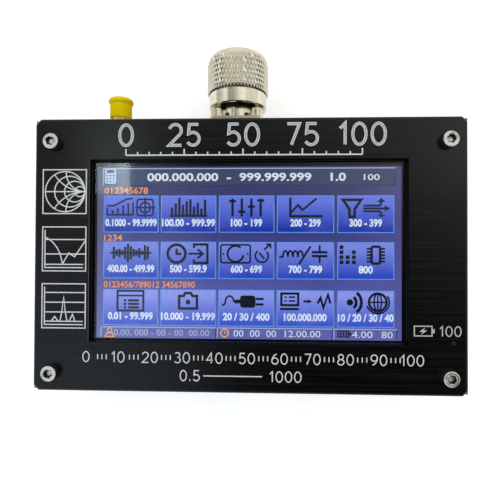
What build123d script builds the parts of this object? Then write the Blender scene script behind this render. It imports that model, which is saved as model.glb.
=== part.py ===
from build123d import *
import os
from math import sqrt

# Handheld antenna analyzer: a flat aluminium case with a touch display, an N plug and
# a capped SMA jack on its top edge. Millimetres. +X runs along the long side, +Y towards
# the connectors and +Z out of the screen. The origin is the centre of the rear face.

# ---------------------------------------------------------------- driving dimensions
# Display module, which the case is built around, and the window over it.
display_width = 105.5
display_height = 67.2
display_thickness = 3.0
touch_thickness = 1.0
touch_corner_radius = 0.6
window_centre_x = -0.25
window_centre_y = 1.25
window_side_margin = 4.2
window_top_margin = 3.6
window_bottom_margin = 7.8
window_edge_chamfer = 0.15
gasket_thickness = 0.4
gasket_width = 2.5
bezel_lip = 0.2
bezel_wall = 0.6
bezel_floor = 0.3
bezel_margin = 1.0
cell_thickness = 1.3
cell_clearance = 0.15

# Case: two flat panels with a milled frame between them.
panel_side_margin = 13.3
panel_end_margin = 8.4
panel_thickness = 2.0
panel_corner_cut = 1.6
panel_edge_round = 0.9
frame_side_overhang = 0.55
panel_end_overhang = 0.2
frame_depth = 23.0
frame_wall = 2.5
pocket_corner_radius = 1.5
post_radius = 3.5

# Case screws: cap heads in front, countersunk heads behind, all M3.
case_screw_side_inset = 6.0
case_screw_top_inset = 7.5
case_screw_bottom_inset = 5.85
m3_radius = 1.5
m3_hole_clearance = 0.1
m3_thread_clearance = 0.03
cap_head_radius = 2.35
cap_head_height = 2.7
cap_socket_flats = 2.5
cap_socket_depth = 1.5
cap_head_chamfer = 0.25
case_screw_grip = 6.0
rear_head_radius = 2.75
rear_head_clearance = 0.05
rear_socket_flats = 2.0
rear_socket_depth = 1.1

# Main board, hung below the display on four hex spacers.
board_gap = 1.6
board_thickness = 1.6
board_clearance = 0.3
spacer_side_gap = 4.75
spacer_end_inset = 11.6
spacer_flats = 5.0
spigot_radius = 1.5
spigot_length = 1.0
m25_radius = 1.25
m25_clearance = 0.03
m25_hole_clearance = 0.1
board_screw_length = 5.0
board_screw_head_radius = 2.4
board_screw_head_height = 1.6
board_screw_head_round = 0.8

# Display ribbon, folded round the lower edge of the board.
ribbon_width = 40.0
ribbon_thickness = 0.2
ribbon_run = 1.5
ribbon_socket_depth = 4.0
ribbon_socket_height = 1.6
ribbon_socket_ear = 3.2
ribbon_socket_chamfer = 0.2
ribbon_side_clearance = 3.2
ribbon_edge_clearance = 1.4

# Parts on the under side of the board.
processor_size = 24.0
processor_height = 1.4
processor_corner_cut = 0.7
processor_x = -12.0
processor_y = -12.0
memory_length = 18.0
memory_width = 8.0
memory_height = 1.1
memory_x = 12.0
shield_length = 44.0
shield_width = 22.0
shield_height = 3.2
shield_wall = 0.3
shield_card_gap = 2.0
shield_notch_gap = 7.0
small_chip_size = 5.0
small_chip_height = 0.9
small_chip_pitch = 10.0
small_chip_gap = 2.5
small_chip_count = 4

# Battery under the board, taped to the rear panel.
battery_length = 64.0
battery_width = 50.0
battery_height = 6.0
battery_x = -8.0
battery_y = -6.0
battery_edge_round = 2.0
pad_thickness = 0.4
pad_inset = 4.0
lead_radius = 0.6
lead_spacing = 2.0
lead_bend_radius = 1.8
lead_reach = 3.6
battery_plug_length = 7.0
battery_plug_width = 8.0
battery_plug_height = 4.2

# Charge lamp: a chip on the board and a clear rod through the front panel.
lamp_wall_clearance = 0.95
lamp_bottom_inset = 15.7
lamp_radius = 0.9
lamp_tip_round = 0.45
lamp_recess = 0.3
lamp_hole_clearance = 0.05
lamp_collar_radius = 1.3
lamp_collar_height = 1.2
lamp_chip_length = 2.0
lamp_chip_width = 1.2
lamp_chip_height = 0.8
lamp_gap = 0.2

# Ports in the side walls.
usb_width = 8.94
usb_height = 3.26
usb_shell = 0.3
usb_length = 7.35
usb_mouth_depth = 6.2
usb_tongue_width = 6.7
usb_tongue_thickness = 0.7
usb_tongue_length = 5.2
usb_recess = 1.0
usb_opening_clearance = 0.7
charge_port_from_spacer = 10.0
data_port_from_spacer = 8.0
card_length = 15.0
card_width = 11.0
card_thickness = 0.7
card_proud = 1.2
card_notch = 0.7
card_notch_length = 7.5
card_opening_extra = 0.7
card_slot_clearance = 0.1
card_wall_clearance = 0.6
card_from_spacer = 14.0
card_over_push = 0.6
card_socket_length = 15.0
card_socket_width = 14.0
card_socket_height = 1.9

# Rocker switch in the right wall.
switch_from_spacer = 14.0
switch_board_gap = 1.8
switch_end_lip = 0.8
switch_side_lip = 0.9
switch_bezel_thickness = 1.4
switch_bezel_corner = 1.4
switch_bezel_round = 0.45
switch_end_wall = 0.6
switch_side_wall = 0.65
switch_body_depth = 11.5
switch_cavity_depth = 4.4
switch_cut_clearance = 0.1
rocker_end_radius = 5.75
rocker_face_centre = 2.2
rocker_face_end = 3.6
rocker_under = 1.6
rocker_width = 7.2
rocker_tilt = 10.0
rocker_gap = 0.35
rocker_pivot_depth = 1.2
rocker_pin_radius = 0.8
rocker_pin_length = 0.45
pin_clearance = 0.05
terminal_width = 3.0
terminal_thickness = 0.6
terminal_length = 3.2
terminal_spacing = 7.0

# N plug on the top edge, its axis along +Y. Heights are above the outer wall face.
n_axis_x = -3.95
connector_axis_drop = 13.5
n_bore_radius = 3.5
n_sleeve_wall = 0.55
n_stub_wall = 1.1
n_barrel_wall = 2.5
n_flange_margin = 2.15
n_flange_thickness = 2.4
n_flange_corner = 1.0
n_screw_barrel_gap = 0.83
n_screw_head_radius = 2.15
n_screw_head_height = 2.6
n_screw_head_round = 0.25
n_screw_length = 4.0
n_screw_socket_flats = 2.0
n_screw_socket_depth = 1.25
n_stub_length = 5.0
n_stub_clearance = 0.2
n_sleeve_slots = 4
n_slot_width = 0.5
n_slot_length = 4.2
n_pin_base_radius = 1.5
n_pin_radius = 0.825
n_pin_tip_radius = 0.275
n_pin_tip_length = 0.825
n_pin_recess = 0.6
n_tail_length = 1.5
n_insulator_end = 12.0
n_weep_holes = 6
n_weep_radius = 0.65
n_weep_depth = 1.4
n_weep_height = 1.5
n_fit_clearance = 0.05

# Coupling nut that turns on the barrel of the N plug.
nut_start = 6.75
nut_length = 17.05
nut_thread_gap = 1.65
nut_wall = 2.5
nut_band_step = 0.6
nut_band_length = 4.85
nut_skirt_wall = 1.1
nut_skirt_depth = 3.35
nut_shoulder_length = 3.0
nut_mouth_chamfer = 0.6
nut_nose_length = 3.4
nut_nose_drop = 0.95
nut_overhang = 4.3
ring_thickness = 0.9
ring_groove_width = 1.1
ring_groove_depth = 0.6
ring_reach = 0.45
ring_gap_width = 1.6
seal_thickness = 1.2
seal_clearance = 0.3

# SMA jack on the top edge, with a push-on dust cap.
sma_axis_x = -43.7
sma_thread_radius = 3.12
sma_hole_clearance = 0.15
sma_thread_end = 9.8
sma_hex_flats = 8.0
sma_hex_thickness = 2.0
sma_stub_radius = 2.8
sma_stub_length = 2.0
sma_bore_radius = 2.05
sma_pin_radius = 0.64
sma_socket_radius = 0.47
sma_socket_depth = 3.0
sma_tail_length = 1.5
sma_washer_radius = 4.5
sma_washer_thickness = 0.6
sma_washer_notches = 10
sma_washer_notch_size = 0.6
sma_nut_thickness = 2.0
sma_end_chamfer = 0.25
sma_fit_clearance = 0.05
cap_start = 4.3
cap_wall = 0.42
cap_slip = 0.06
cap_rim_step = 0.45
cap_rim_length = 2.2
cap_rim_flare = 0.8
cap_end_gap = 0.3
cap_end_wall = 0.8
cap_dome_round = 1.0
signal_wire_radius = 0.45
signal_wire_bend = 1.2

# ------------------------------------------------------------------- derived sizes
window_width = display_width - 2 * window_side_margin
window_height = display_height - window_top_margin - window_bottom_margin
display_centre_y = window_centre_y + (window_top_margin - window_bottom_margin) / 2
display_low_y = display_centre_y - display_height / 2
panel_width = display_width + 2 * panel_side_margin
panel_height = display_height + 2 * panel_end_margin
frame_width = panel_width + 2 * frame_side_overhang
frame_height = panel_height - 2 * panel_end_overhang
frame_top = panel_thickness + frame_depth
front_z = frame_top + panel_thickness
pocket_width = frame_width - 2 * frame_wall
pocket_height = frame_height - 2 * frame_wall
right_face = frame_width / 2
top_face = frame_height / 2
case_screw_x = panel_width / 2 - case_screw_side_inset
case_screw_top_y = panel_height / 2 - case_screw_top_inset
case_screw_bottom_y = case_screw_bottom_inset - panel_height / 2
case_screw_points = [
    (side * case_screw_x, height)
    for side in (-1, 1)
    for height in (case_screw_top_y, case_screw_bottom_y)
]

touch_top = frame_top - gasket_thickness
display_top = touch_top - touch_thickness
display_bottom = display_top - display_thickness
board_top = display_bottom - board_gap
board_bottom = board_top - board_thickness
spacer_x = display_width / 2 + spacer_side_gap
spacer_y = display_height / 2 - spacer_end_inset
spacer_points = [(sx * spacer_x, sy * spacer_y) for sx in (-1, 1) for sy in (-1, 1)]
board_edge_x = pocket_width / 2 - board_clearance
lamp_x = pocket_width / 2 - lamp_collar_radius - lamp_wall_clearance
lamp_y = lamp_bottom_inset - panel_height / 2

charge_port_y = charge_port_from_spacer - spacer_y
data_port_y = data_port_from_spacer - spacer_y
usb_middle = board_bottom - usb_height / 2
card_port_y = spacer_y - card_from_spacer
card_middle = board_bottom - card_socket_height / 2
switch_body_length = 2 * (rocker_end_radius + rocker_gap + switch_end_wall)
switch_body_width = rocker_width + 2 * (rocker_gap + switch_side_wall)
switch_y = spacer_y - switch_from_spacer
switch_z = board_bottom - switch_board_gap - switch_body_width / 2

connector_z = front_z - connector_axis_drop
n_sleeve_radius = n_bore_radius + n_sleeve_wall
n_stub_radius = n_bore_radius + n_stub_wall
n_barrel_radius = n_bore_radius + n_barrel_wall
n_screw_pitch = sqrt(2) * (n_barrel_radius + n_screw_barrel_gap + n_screw_head_radius)
n_flange_size = n_screw_pitch + 2 * n_flange_margin
nut_thread_radius = n_barrel_radius + nut_thread_gap
nut_radius = nut_thread_radius + nut_wall
nut_band_radius = nut_radius - nut_band_step
nut_skirt_radius = nut_band_radius - nut_skirt_wall
nut_nose_radius = nut_radius - nut_nose_drop
n_mouth = nut_start + nut_length
n_sleeve_end = n_mouth - nut_overhang
nut_shoulder_start = nut_start + nut_skirt_depth
nut_shoulder_end = nut_shoulder_start + nut_shoulder_length
n_barrel_end = nut_shoulder_end + seal_thickness
sma_stub_end = -frame_wall - sma_hex_thickness - sma_stub_length
cap_radius = sma_thread_radius + cap_slip + cap_wall
cap_rim_radius = cap_radius + cap_rim_step
cap_inner_end = sma_thread_end + cap_end_gap
cap_top = cap_inner_end + cap_end_wall


def side_plane(side, y, z):
    """Outer face of a side wall: local x along the wall, local y up, normal outwards."""
    return Plane(origin=(side * right_face, y, z), x_dir=(0, side, 0), z_dir=(side, 0, 0))


def top_plane(x, height=0.0):
    """Plane across a connector's axis, a height above the top wall's outer face."""
    return Plane(origin=(x, top_face + height, connector_z), x_dir=(1, 0, 0), z_dir=(0, 1, 0))


def turning_plane(x):
    """Plane through a connector's axis: local x is the radius, local y the height."""
    return Plane(origin=(x, top_face, connector_z), x_dir=(1, 0, 0), z_dir=(0, 0, 1))


def connector_axis(x):
    """The axis of a connector on the top wall."""
    return Axis((x, top_face, connector_z), (0, 1, 0))


def flats_to_radius(flats):
    """Corner radius of a hexagon with this distance across its flats."""
    return flats / sqrt(3)


# --------------------------------------------------------------------------- case
# Outline of the milled pocket: a rectangle with a square post left in each corner.
with BuildSketch() as pocket:
    Rectangle(pocket_width, pocket_height)
    for screw_x, screw_y in case_screw_points:
        side_x = 1 if screw_x > 0 else -1
        side_y = 1 if screw_y > 0 else -1
        block_x = pocket_width / 2 - abs(screw_x) + post_radius
        block_y = pocket_height / 2 - abs(screw_y) + post_radius
        with Locations(
            (
                side_x * (pocket_width - block_x) / 2,
                side_y * (pocket_height - block_y) / 2,
            )
        ):
            Rectangle(block_x, block_y, mode=Mode.SUBTRACT)
    fillet(pocket.vertices(), pocket_corner_radius)

# Both panels share one outline with its corners cut off.
with BuildSketch() as panel_outline:
    Rectangle(panel_width, panel_height)
    chamfer(panel_outline.vertices(), panel_corner_cut)

with BuildPart() as front_panel:
    with BuildSketch(Plane.XY.offset(frame_top)):
        add(panel_outline.sketch)
        with Locations((window_centre_x, window_centre_y)):
            Rectangle(window_width, window_height, mode=Mode.SUBTRACT)
    extrude(amount=panel_thickness)
    top_edges = front_panel.faces().sort_by(Axis.Z)[-1]
    fillet(top_edges.outer_wire().edges(), panel_edge_round)
    chamfer(front_panel.faces().sort_by(Axis.Z)[-1].inner_wires()[0].edges(), window_edge_chamfer)
    with Locations(*[(x, y, front_z) for x, y in case_screw_points]):
        Hole(m3_radius + m3_hole_clearance)
    with Locations((lamp_x, lamp_y, front_z)):
        Hole(lamp_radius + lamp_hole_clearance)
    with BuildSketch(Plane.XY.offset(frame_top)):
        with Locations(*spacer_points):
            Circle(spigot_radius + m25_clearance)
    extrude(amount=spigot_length, mode=Mode.SUBTRACT)
front_panel.part.label = "front_panel"

with BuildPart() as case_frame:
    with BuildSketch(Plane.XY.offset(panel_thickness)):
        Rectangle(frame_width, frame_height)
        add(pocket.sketch, mode=Mode.SUBTRACT)
    extrude(amount=frame_depth)
    # Tapped holes, drawn at the screws' outer diameter.
    with Locations(*[(x, y, frame_top) for x, y in case_screw_points]):
        Hole(m3_radius + m3_thread_clearance)
    # Top wall: N plug with its four screws, and the SMA jack.
    with BuildSketch(top_plane(n_axis_x)):
        Circle(n_stub_radius + n_stub_clearance)
        with GridLocations(n_screw_pitch, n_screw_pitch, 2, 2):
            Circle(m25_radius + m25_clearance)
    extrude(amount=-frame_wall, mode=Mode.SUBTRACT)
    with BuildSketch(top_plane(sma_axis_x)):
        Circle(sma_thread_radius + sma_hole_clearance)
    extrude(amount=-frame_wall, mode=Mode.SUBTRACT)
    # Right wall: rocker switch and charging port.
    with BuildSketch(side_plane(1, switch_y, switch_z)):
        Rectangle(
            switch_body_length + 2 * switch_cut_clearance,
            switch_body_width + 2 * switch_cut_clearance,
        )
    extrude(amount=-frame_wall, mode=Mode.SUBTRACT)
    for side, port_y in ((1, charge_port_y), (-1, data_port_y)):
        with BuildSketch(side_plane(side, port_y, usb_middle)):
            SlotOverall(
                usb_width + 2 * usb_opening_clearance,
                usb_height + 2 * usb_opening_clearance,
            )
        extrude(amount=-frame_wall, mode=Mode.SUBTRACT)
    # Left wall: memory card slot.
    with BuildSketch(side_plane(-1, card_port_y, card_middle)):
        SlotOverall(
            card_width + 2 * card_wall_clearance + card_opening_extra,
            card_thickness + 2 * card_wall_clearance,
        )
    extrude(amount=-frame_wall, mode=Mode.SUBTRACT)
case_frame.part.label = "case_frame"

with BuildPart() as rear_panel:
    with BuildSketch():
        add(panel_outline.sketch)
    extrude(amount=panel_thickness)
    fillet(rear_panel.faces().sort_by(Axis.Z)[0].edges(), panel_edge_round)
    with Locations(Plane.XY.rotated((180, 0, 0))):
        with Locations(*[(x, -y) for x, y in case_screw_points]):
            CounterSinkHole(m3_radius + m3_hole_clearance, rear_head_radius)
rear_panel.part.label = "rear_panel"

with BuildPart() as front_panel_screws:
    with Locations(*[(x, y, front_z) for x, y in case_screw_points]):
        Cylinder(cap_head_radius, cap_head_height, align=(Align.CENTER, Align.CENTER, Align.MIN))
        Cylinder(
            m3_radius,
            panel_thickness + case_screw_grip,
            align=(Align.CENTER, Align.CENTER, Align.MAX),
        )
    chamfer(front_panel_screws.edges().group_by(Axis.Z)[-1], cap_head_chamfer)
    with BuildSketch(Plane.XY.offset(front_z + cap_head_height)):
        with Locations(*case_screw_points):
            RegularPolygon(flats_to_radius(cap_socket_flats), 6)
    extrude(amount=-cap_socket_depth, mode=Mode.SUBTRACT)
front_panel_screws.part.label = "front_panel_screws"

with BuildPart() as rear_panel_screws:
    head_radius = rear_head_radius - rear_head_clearance
    with Locations(*[(x, y, 0) for x, y in case_screw_points]):
        Cone(
            head_radius,
            m3_radius,
            head_radius - m3_radius,
            align=(Align.CENTER, Align.CENTER, Align.MIN),
        )
        Cylinder(
            m3_radius,
            panel_thickness + case_screw_grip,
            align=(Align.CENTER, Align.CENTER, Align.MIN),
        )
    with BuildSketch():
        with Locations(*case_screw_points):
            RegularPolygon(flats_to_radius(rear_socket_flats), 6)
    extrude(amount=rear_socket_depth, mode=Mode.SUBTRACT)
rear_panel_screws.part.label = "rear_panel_screws"

# ------------------------------------------------------------------------- display
with BuildPart() as display_gasket:
    with BuildSketch(Plane.XY.offset(touch_top)):
        with Locations((window_centre_x, window_centre_y)):
            Rectangle(window_width + 2 * gasket_width, window_height + 2 * gasket_width)
            Rectangle(window_width, window_height, mode=Mode.SUBTRACT)
    extrude(amount=gasket_thickness)
display_gasket.part.label = "display_gasket"

with BuildPart() as touch_panel:
    with BuildSketch(Plane.XY.offset(display_top)):
        with Locations((0, display_centre_y)):
            RectangleRounded(display_width, display_height, touch_corner_radius)
    extrude(amount=touch_thickness)
touch_panel.part.label = "touch_panel"

# Pressed metal tray: floor, four walls and a lip over the edge of the glass.
with BuildPart() as lcd_bezel:
    with BuildSketch(Plane.XY.offset(display_bottom)):
        with Locations((0, display_centre_y)):
            Rectangle(display_width, display_height)
    extrude(amount=display_thickness)
    with BuildSketch(Plane.XY.offset(display_bottom + bezel_floor)):
        with Locations((0, display_centre_y)):
            Rectangle(display_width - 2 * bezel_wall, display_height - 2 * bezel_wall)
    extrude(amount=display_thickness - bezel_floor - bezel_lip, mode=Mode.SUBTRACT)
    with BuildSketch(Plane.XY.offset(display_top)):
        with Locations((window_centre_x, window_centre_y)):
            Rectangle(window_width + 2 * bezel_margin, window_height + 2 * bezel_margin)
    extrude(amount=-bezel_lip, mode=Mode.SUBTRACT)
lcd_bezel.part.label = "lcd_bezel"

cell_top = display_top - bezel_lip
cell_bottom = cell_top - cell_thickness
cell_width = display_width - 2 * bezel_wall - 2 * cell_clearance
cell_height = display_height - 2 * bezel_wall - 2 * cell_clearance

with BuildPart() as lcd_panel:
    with BuildSketch(Plane.XY.offset(cell_bottom)):
        with Locations((0, display_centre_y)):
            Rectangle(cell_width, cell_height)
    extrude(amount=cell_thickness)
lcd_panel.part.label = "lcd_panel"

with BuildPart() as backlight:
    with BuildSketch(Plane.XY.offset(display_bottom + bezel_floor)):
        with Locations((0, display_centre_y)):
            Rectangle(cell_width, cell_height)
    extrude(amount=cell_bottom - display_bottom - bezel_floor)
backlight.part.label = "backlight"

# Flat ribbon: out of the tray's lower edge, half a turn round the board, into its socket.
ribbon_top = display_bottom + bezel_floor + 2 * ribbon_thickness
ribbon_low = board_bottom - ribbon_socket_height / 2
ribbon_bend = (ribbon_top - ribbon_low) / 2
ribbon_turn_y = display_low_y - ribbon_run
ribbon_socket_front = ribbon_turn_y + ribbon_bend

with BuildPart() as lcd_ribbon:
    with BuildSketch(Plane.YZ.offset(-ribbon_width / 2)):
        with BuildLine() as ribbon_path:
            Line((display_low_y, ribbon_top), (ribbon_turn_y, ribbon_top))
            ThreePointArc(
                (ribbon_turn_y, ribbon_top),
                (ribbon_turn_y - ribbon_bend, (ribbon_top + ribbon_low) / 2),
                (ribbon_turn_y, ribbon_low),
            )
            Line((ribbon_turn_y, ribbon_low), (ribbon_socket_front, ribbon_low))
            offset(amount=ribbon_thickness / 2, side=Side.LEFT)
        make_face()
    extrude(amount=ribbon_width)
lcd_ribbon.part.label = "lcd_ribbon"

with BuildPart() as ribbon_socket:
    with BuildSketch(Plane.XY.offset(board_bottom)):
        with Locations((0, ribbon_socket_front + ribbon_socket_depth / 2)):
            Rectangle(ribbon_width + 2 * ribbon_socket_ear, ribbon_socket_depth)
    extrude(amount=-ribbon_socket_height)
    low_edges = ribbon_socket.edges().filter_by(Axis.X).group_by(Axis.Z)[0]
    chamfer(low_edges, ribbon_socket_chamfer)
ribbon_socket.part.label = "ribbon_socket"

# ---------------------------------------------------------------------- main board
connector_notch_left = sma_axis_x - sma_hex_flats
connector_notch_right = n_axis_x + n_flange_size / 2
connector_notch_y = top_face - max(n_stub_length, -sma_stub_end) - board_clearance

with BuildPart() as main_board:
    with BuildSketch(Plane.XY.offset(board_bottom)):
        add(pocket.sketch)
        offset(amount=-board_clearance, kind=Kind.INTERSECTION)
        with Locations(((connector_notch_left + connector_notch_right) / 2, connector_notch_y)):
            Rectangle(
                connector_notch_right - connector_notch_left,
                pocket_height,
                align=(Align.CENTER, Align.MIN),
                mode=Mode.SUBTRACT,
            )
        with Locations((0, ribbon_turn_y - ribbon_bend + ribbon_edge_clearance)):
            Rectangle(
                ribbon_width + 2 * ribbon_side_clearance,
                pocket_height,
                align=(Align.CENTER, Align.MAX),
                mode=Mode.SUBTRACT,
            )
        with Locations(*spacer_points):
            Circle(m25_radius + m25_hole_clearance, mode=Mode.SUBTRACT)
    extrude(amount=board_thickness)
main_board.part.label = "main_board"

with BuildPart() as board_spacers:
    with BuildSketch(Plane.XY.offset(board_top)):
        with Locations(*spacer_points):
            RegularPolygon(flats_to_radius(spacer_flats), 6)
    extrude(amount=frame_top - board_top)
    with BuildSketch(Plane.XY.offset(frame_top)):
        with Locations(*spacer_points):
            Circle(spigot_radius)
    extrude(amount=spigot_length - m25_clearance)
    with BuildSketch(Plane.XY.offset(board_top)):
        with Locations(*spacer_points):
            Circle(m25_radius + m25_clearance)
    extrude(amount=board_screw_length, mode=Mode.SUBTRACT)
board_spacers.part.label = "board_spacers"

with BuildPart() as board_screws:
    with Locations(*[(x, y, board_bottom) for x, y in spacer_points]):
        Cylinder(
            board_screw_head_radius,
            board_screw_head_height,
            align=(Align.CENTER, Align.CENTER, Align.MAX),
        )
        Cylinder(m25_radius, board_screw_length, align=(Align.CENTER, Align.CENTER, Align.MIN))
    fillet(board_screws.edges().group_by(Axis.Z)[0], board_screw_head_round)
board_screws.part.label = "board_screws"

with BuildPart() as processor:
    with BuildSketch(Plane.XY.offset(board_bottom)):
        with Locations((processor_x, processor_y)):
            Rectangle(processor_size, processor_size)
    extrude(amount=-processor_height)
    chamfer(processor.edges().filter_by(Axis.Z), processor_corner_cut)
processor.part.label = "processor"

with BuildPart() as memory_chip:
    with BuildSketch(Plane.XY.offset(board_bottom)):
        with Locations((memory_x, processor_y)):
            Rectangle(memory_width, memory_length)
    extrude(amount=-memory_height)
memory_chip.part.label = "memory_chip"

shield_left = shield_card_gap + card_socket_length - board_edge_x
shield_x = shield_left + shield_length / 2
shield_y = connector_notch_y - shield_notch_gap - shield_width / 2
first_chip_x = shield_left + shield_length + small_chip_gap + small_chip_size / 2
chip_row = [(first_chip_x + step * small_chip_pitch, shield_y) for step in range(small_chip_count)]

# Regulators, the signal chips and the charger in a row beside the shield.
with BuildPart() as small_chips:
    with BuildSketch(Plane.XY.offset(board_bottom)):
        with Locations(*chip_row):
            Rectangle(small_chip_size, small_chip_size)
    extrude(amount=-small_chip_height)
small_chips.part.label = "small_chips"

with BuildPart() as rf_shield:
    with BuildSketch(Plane.XY.offset(board_bottom)):
        with Locations((shield_x, shield_y)):
            Rectangle(shield_length, shield_width)
    extrude(amount=-shield_height)
    offset(
        amount=-shield_wall,
        openings=rf_shield.faces().sort_by(Axis.Z)[-1],
        kind=Kind.INTERSECTION,
    )
rf_shield.part.label = "rf_shield"

# ------------------------------------------------------------------------- battery
battery_floor = panel_thickness + pad_thickness
battery_end = battery_x + battery_length / 2
lead_low = battery_floor + battery_height / 2
plug_middle = board_bottom - battery_plug_height / 2
plug_start = battery_end + 2 * lead_reach

with BuildPart() as battery_pad:
    with BuildSketch(Plane.XY.offset(panel_thickness)):
        with Locations((battery_x, battery_y)):
            Rectangle(battery_length - 2 * pad_inset, battery_width - 2 * pad_inset)
    extrude(amount=pad_thickness)
battery_pad.part.label = "battery_pad"

with BuildPart() as battery_pack:
    with BuildSketch(Plane.XY.offset(battery_floor)):
        with Locations((battery_x, battery_y)):
            RectangleRounded(battery_length, battery_width, battery_edge_round)
    extrude(amount=battery_height)
battery_pack.part.label = "battery_pack"

with BuildPart() as battery_plug:
    with BuildSketch(Plane.XY.offset(board_bottom)):
        with Locations((plug_start, battery_y)):
            Rectangle(battery_plug_length, battery_plug_width, align=(Align.MIN, Align.CENTER))
    extrude(amount=-battery_plug_height)
battery_plug.part.label = "battery_plug"


def battery_lead(label, lead_y):
    """One insulated wire from the end of the battery up to its plug."""
    with BuildPart() as lead:
        with BuildLine():
            FilletPolyline(
                (battery_end, lead_y, lead_low),
                (battery_end + lead_reach, lead_y, lead_low),
                (battery_end + lead_reach, lead_y, plug_middle),
                (plug_start, lead_y, plug_middle),
                radius=lead_bend_radius,
            )
        with BuildSketch(Plane.YZ.offset(battery_end)):
            with Locations((lead_y, lead_low)):
                Circle(lead_radius)
        sweep()
    lead.part.label = label
    return lead


battery_lead_red = battery_lead("battery_lead_red", battery_y + lead_spacing / 2)
battery_lead_black = battery_lead("battery_lead_black", battery_y - lead_spacing / 2)

# --------------------------------------------------------------------- charge lamp
lamp_rod_bottom = board_top + lamp_chip_height + lamp_gap

with BuildPart() as charge_lamp_chip:
    with BuildSketch(Plane.XY.offset(board_top)):
        with Locations((lamp_x - lamp_chip_length / 2 + lamp_radius, lamp_y)):
            Rectangle(lamp_chip_length, lamp_chip_width)
    extrude(amount=lamp_chip_height)
charge_lamp_chip.part.label = "charge_lamp_chip"

with BuildPart() as charge_lamp_rod:
    with BuildSketch(Plane.XY.offset(lamp_rod_bottom)):
        with Locations((lamp_x, lamp_y)):
            Circle(lamp_radius)
    extrude(amount=front_z - lamp_rod_bottom - lamp_recess)
    with BuildSketch(Plane.XY.offset(frame_top)):
        with Locations((lamp_x, lamp_y)):
            Circle(lamp_collar_radius)
    extrude(amount=-lamp_collar_height)
    fillet(charge_lamp_rod.edges().group_by(Axis.Z)[-1], lamp_tip_round)
charge_lamp_rod.part.label = "charge_lamp_rod"


# --------------------------------------------------------------------------- ports
def usb_socket(label, side, port_y):
    """USB-C receptacle under the edge of the board, its mouth in a side wall."""
    mouth = side_plane(side, port_y, usb_middle).offset(-usb_recess)
    with BuildPart() as socket:
        with BuildSketch(mouth):
            SlotOverall(usb_width, usb_height)
        extrude(amount=-usb_length)
        with BuildSketch(mouth):
            SlotOverall(usb_width - 2 * usb_shell, usb_height - 2 * usb_shell)
        extrude(amount=-usb_mouth_depth, mode=Mode.SUBTRACT)
        with BuildSketch(mouth.offset(-usb_mouth_depth)):
            Rectangle(usb_tongue_width, usb_tongue_thickness)
        extrude(amount=usb_tongue_length)
    socket.part.label = label
    return socket


charge_usb_socket = usb_socket("charge_usb_socket", 1, charge_port_y)
data_usb_socket = usb_socket("data_usb_socket", -1, data_port_y)

card_plane = side_plane(-1, card_port_y, card_middle)
card_socket_mouth = card_plane.offset(-(right_face - board_edge_x))
card_slot_depth = card_length - card_proud + card_over_push + card_slot_clearance

with BuildPart() as card_socket:
    with BuildSketch(card_socket_mouth):
        Rectangle(card_socket_width, card_socket_height)
    extrude(amount=-card_socket_length)
    with BuildSketch(card_plane):
        Rectangle(
            card_width + 2 * card_slot_clearance,
            card_thickness + 2 * card_slot_clearance,
        )
    extrude(amount=-card_slot_depth, mode=Mode.SUBTRACT)
card_socket.part.label = "card_socket"

with BuildPart() as memory_card:
    with BuildSketch(card_plane.offset(card_proud)):
        Rectangle(card_width, card_thickness)
    extrude(amount=-card_length)
    # The step in one long side, towards the contact end.
    with BuildSketch(card_plane.offset(card_proud - card_length)):
        with Locations((card_width / 2, 0)):
            Rectangle(2 * card_notch, card_thickness)
    extrude(amount=card_notch_length, mode=Mode.SUBTRACT)
memory_card.part.label = "memory_card"

# -------------------------------------------------------------------- power switch
switch_plane = side_plane(1, switch_y, switch_z)
pivot_x = right_face - rocker_pivot_depth
cavity_length = 2 * (rocker_end_radius + rocker_gap)
cavity_width = rocker_width + 2 * rocker_gap

with BuildPart() as switch_body:
    with BuildSketch(switch_plane):
        RectangleRounded(
            switch_body_length + 2 * switch_end_lip,
            switch_body_width + 2 * switch_side_lip,
            switch_bezel_corner,
        )
    extrude(amount=switch_bezel_thickness)
    fillet(switch_body.faces().sort_by(Axis.X)[-1].edges(), switch_bezel_round)
    with BuildSketch(switch_plane):
        Rectangle(switch_body_length, switch_body_width)
    extrude(amount=-switch_body_depth)
    with BuildSketch(switch_plane.offset(switch_bezel_thickness)):
        Rectangle(cavity_length, cavity_width)
    extrude(amount=-(switch_bezel_thickness + switch_cavity_depth), mode=Mode.SUBTRACT)
    with BuildSketch(Plane.XY.offset(switch_z)):
        with Locations((pivot_x, switch_y)):
            Circle(rocker_pin_radius + pin_clearance)
    extrude(
        amount=cavity_width / 2 + rocker_pin_length,
        both=True,
        mode=Mode.SUBTRACT,
    )
switch_body.part.label = "switch_body"

# The rocker stands in its pressed-on position, turned about its pivot.
rocker_plane = Plane(origin=(pivot_x, switch_y, switch_z)).rotated((0, 0, rocker_tilt))
face_end_y = sqrt(rocker_end_radius**2 - rocker_face_end**2)
under_end_y = sqrt(rocker_end_radius**2 - rocker_under**2)

with BuildPart() as switch_rocker:
    with BuildSketch(rocker_plane):
        with BuildLine():
            Polyline(
                (rocker_face_end, -face_end_y),
                (rocker_face_centre, 0),
                (rocker_face_end, face_end_y),
            )
            ThreePointArc(
                (rocker_face_end, face_end_y),
                (0, rocker_end_radius),
                (-rocker_under, under_end_y),
            )
            Line((-rocker_under, under_end_y), (-rocker_under, -under_end_y))
            ThreePointArc(
                (-rocker_under, -under_end_y),
                (0, -rocker_end_radius),
                (rocker_face_end, -face_end_y),
            )
        make_face()
    extrude(amount=rocker_width / 2, both=True)
    with BuildSketch(rocker_plane):
        Circle(rocker_pin_radius)
    extrude(amount=rocker_width / 2 + rocker_gap + rocker_pin_length, both=True)
switch_rocker.part.label = "switch_rocker"

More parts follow.
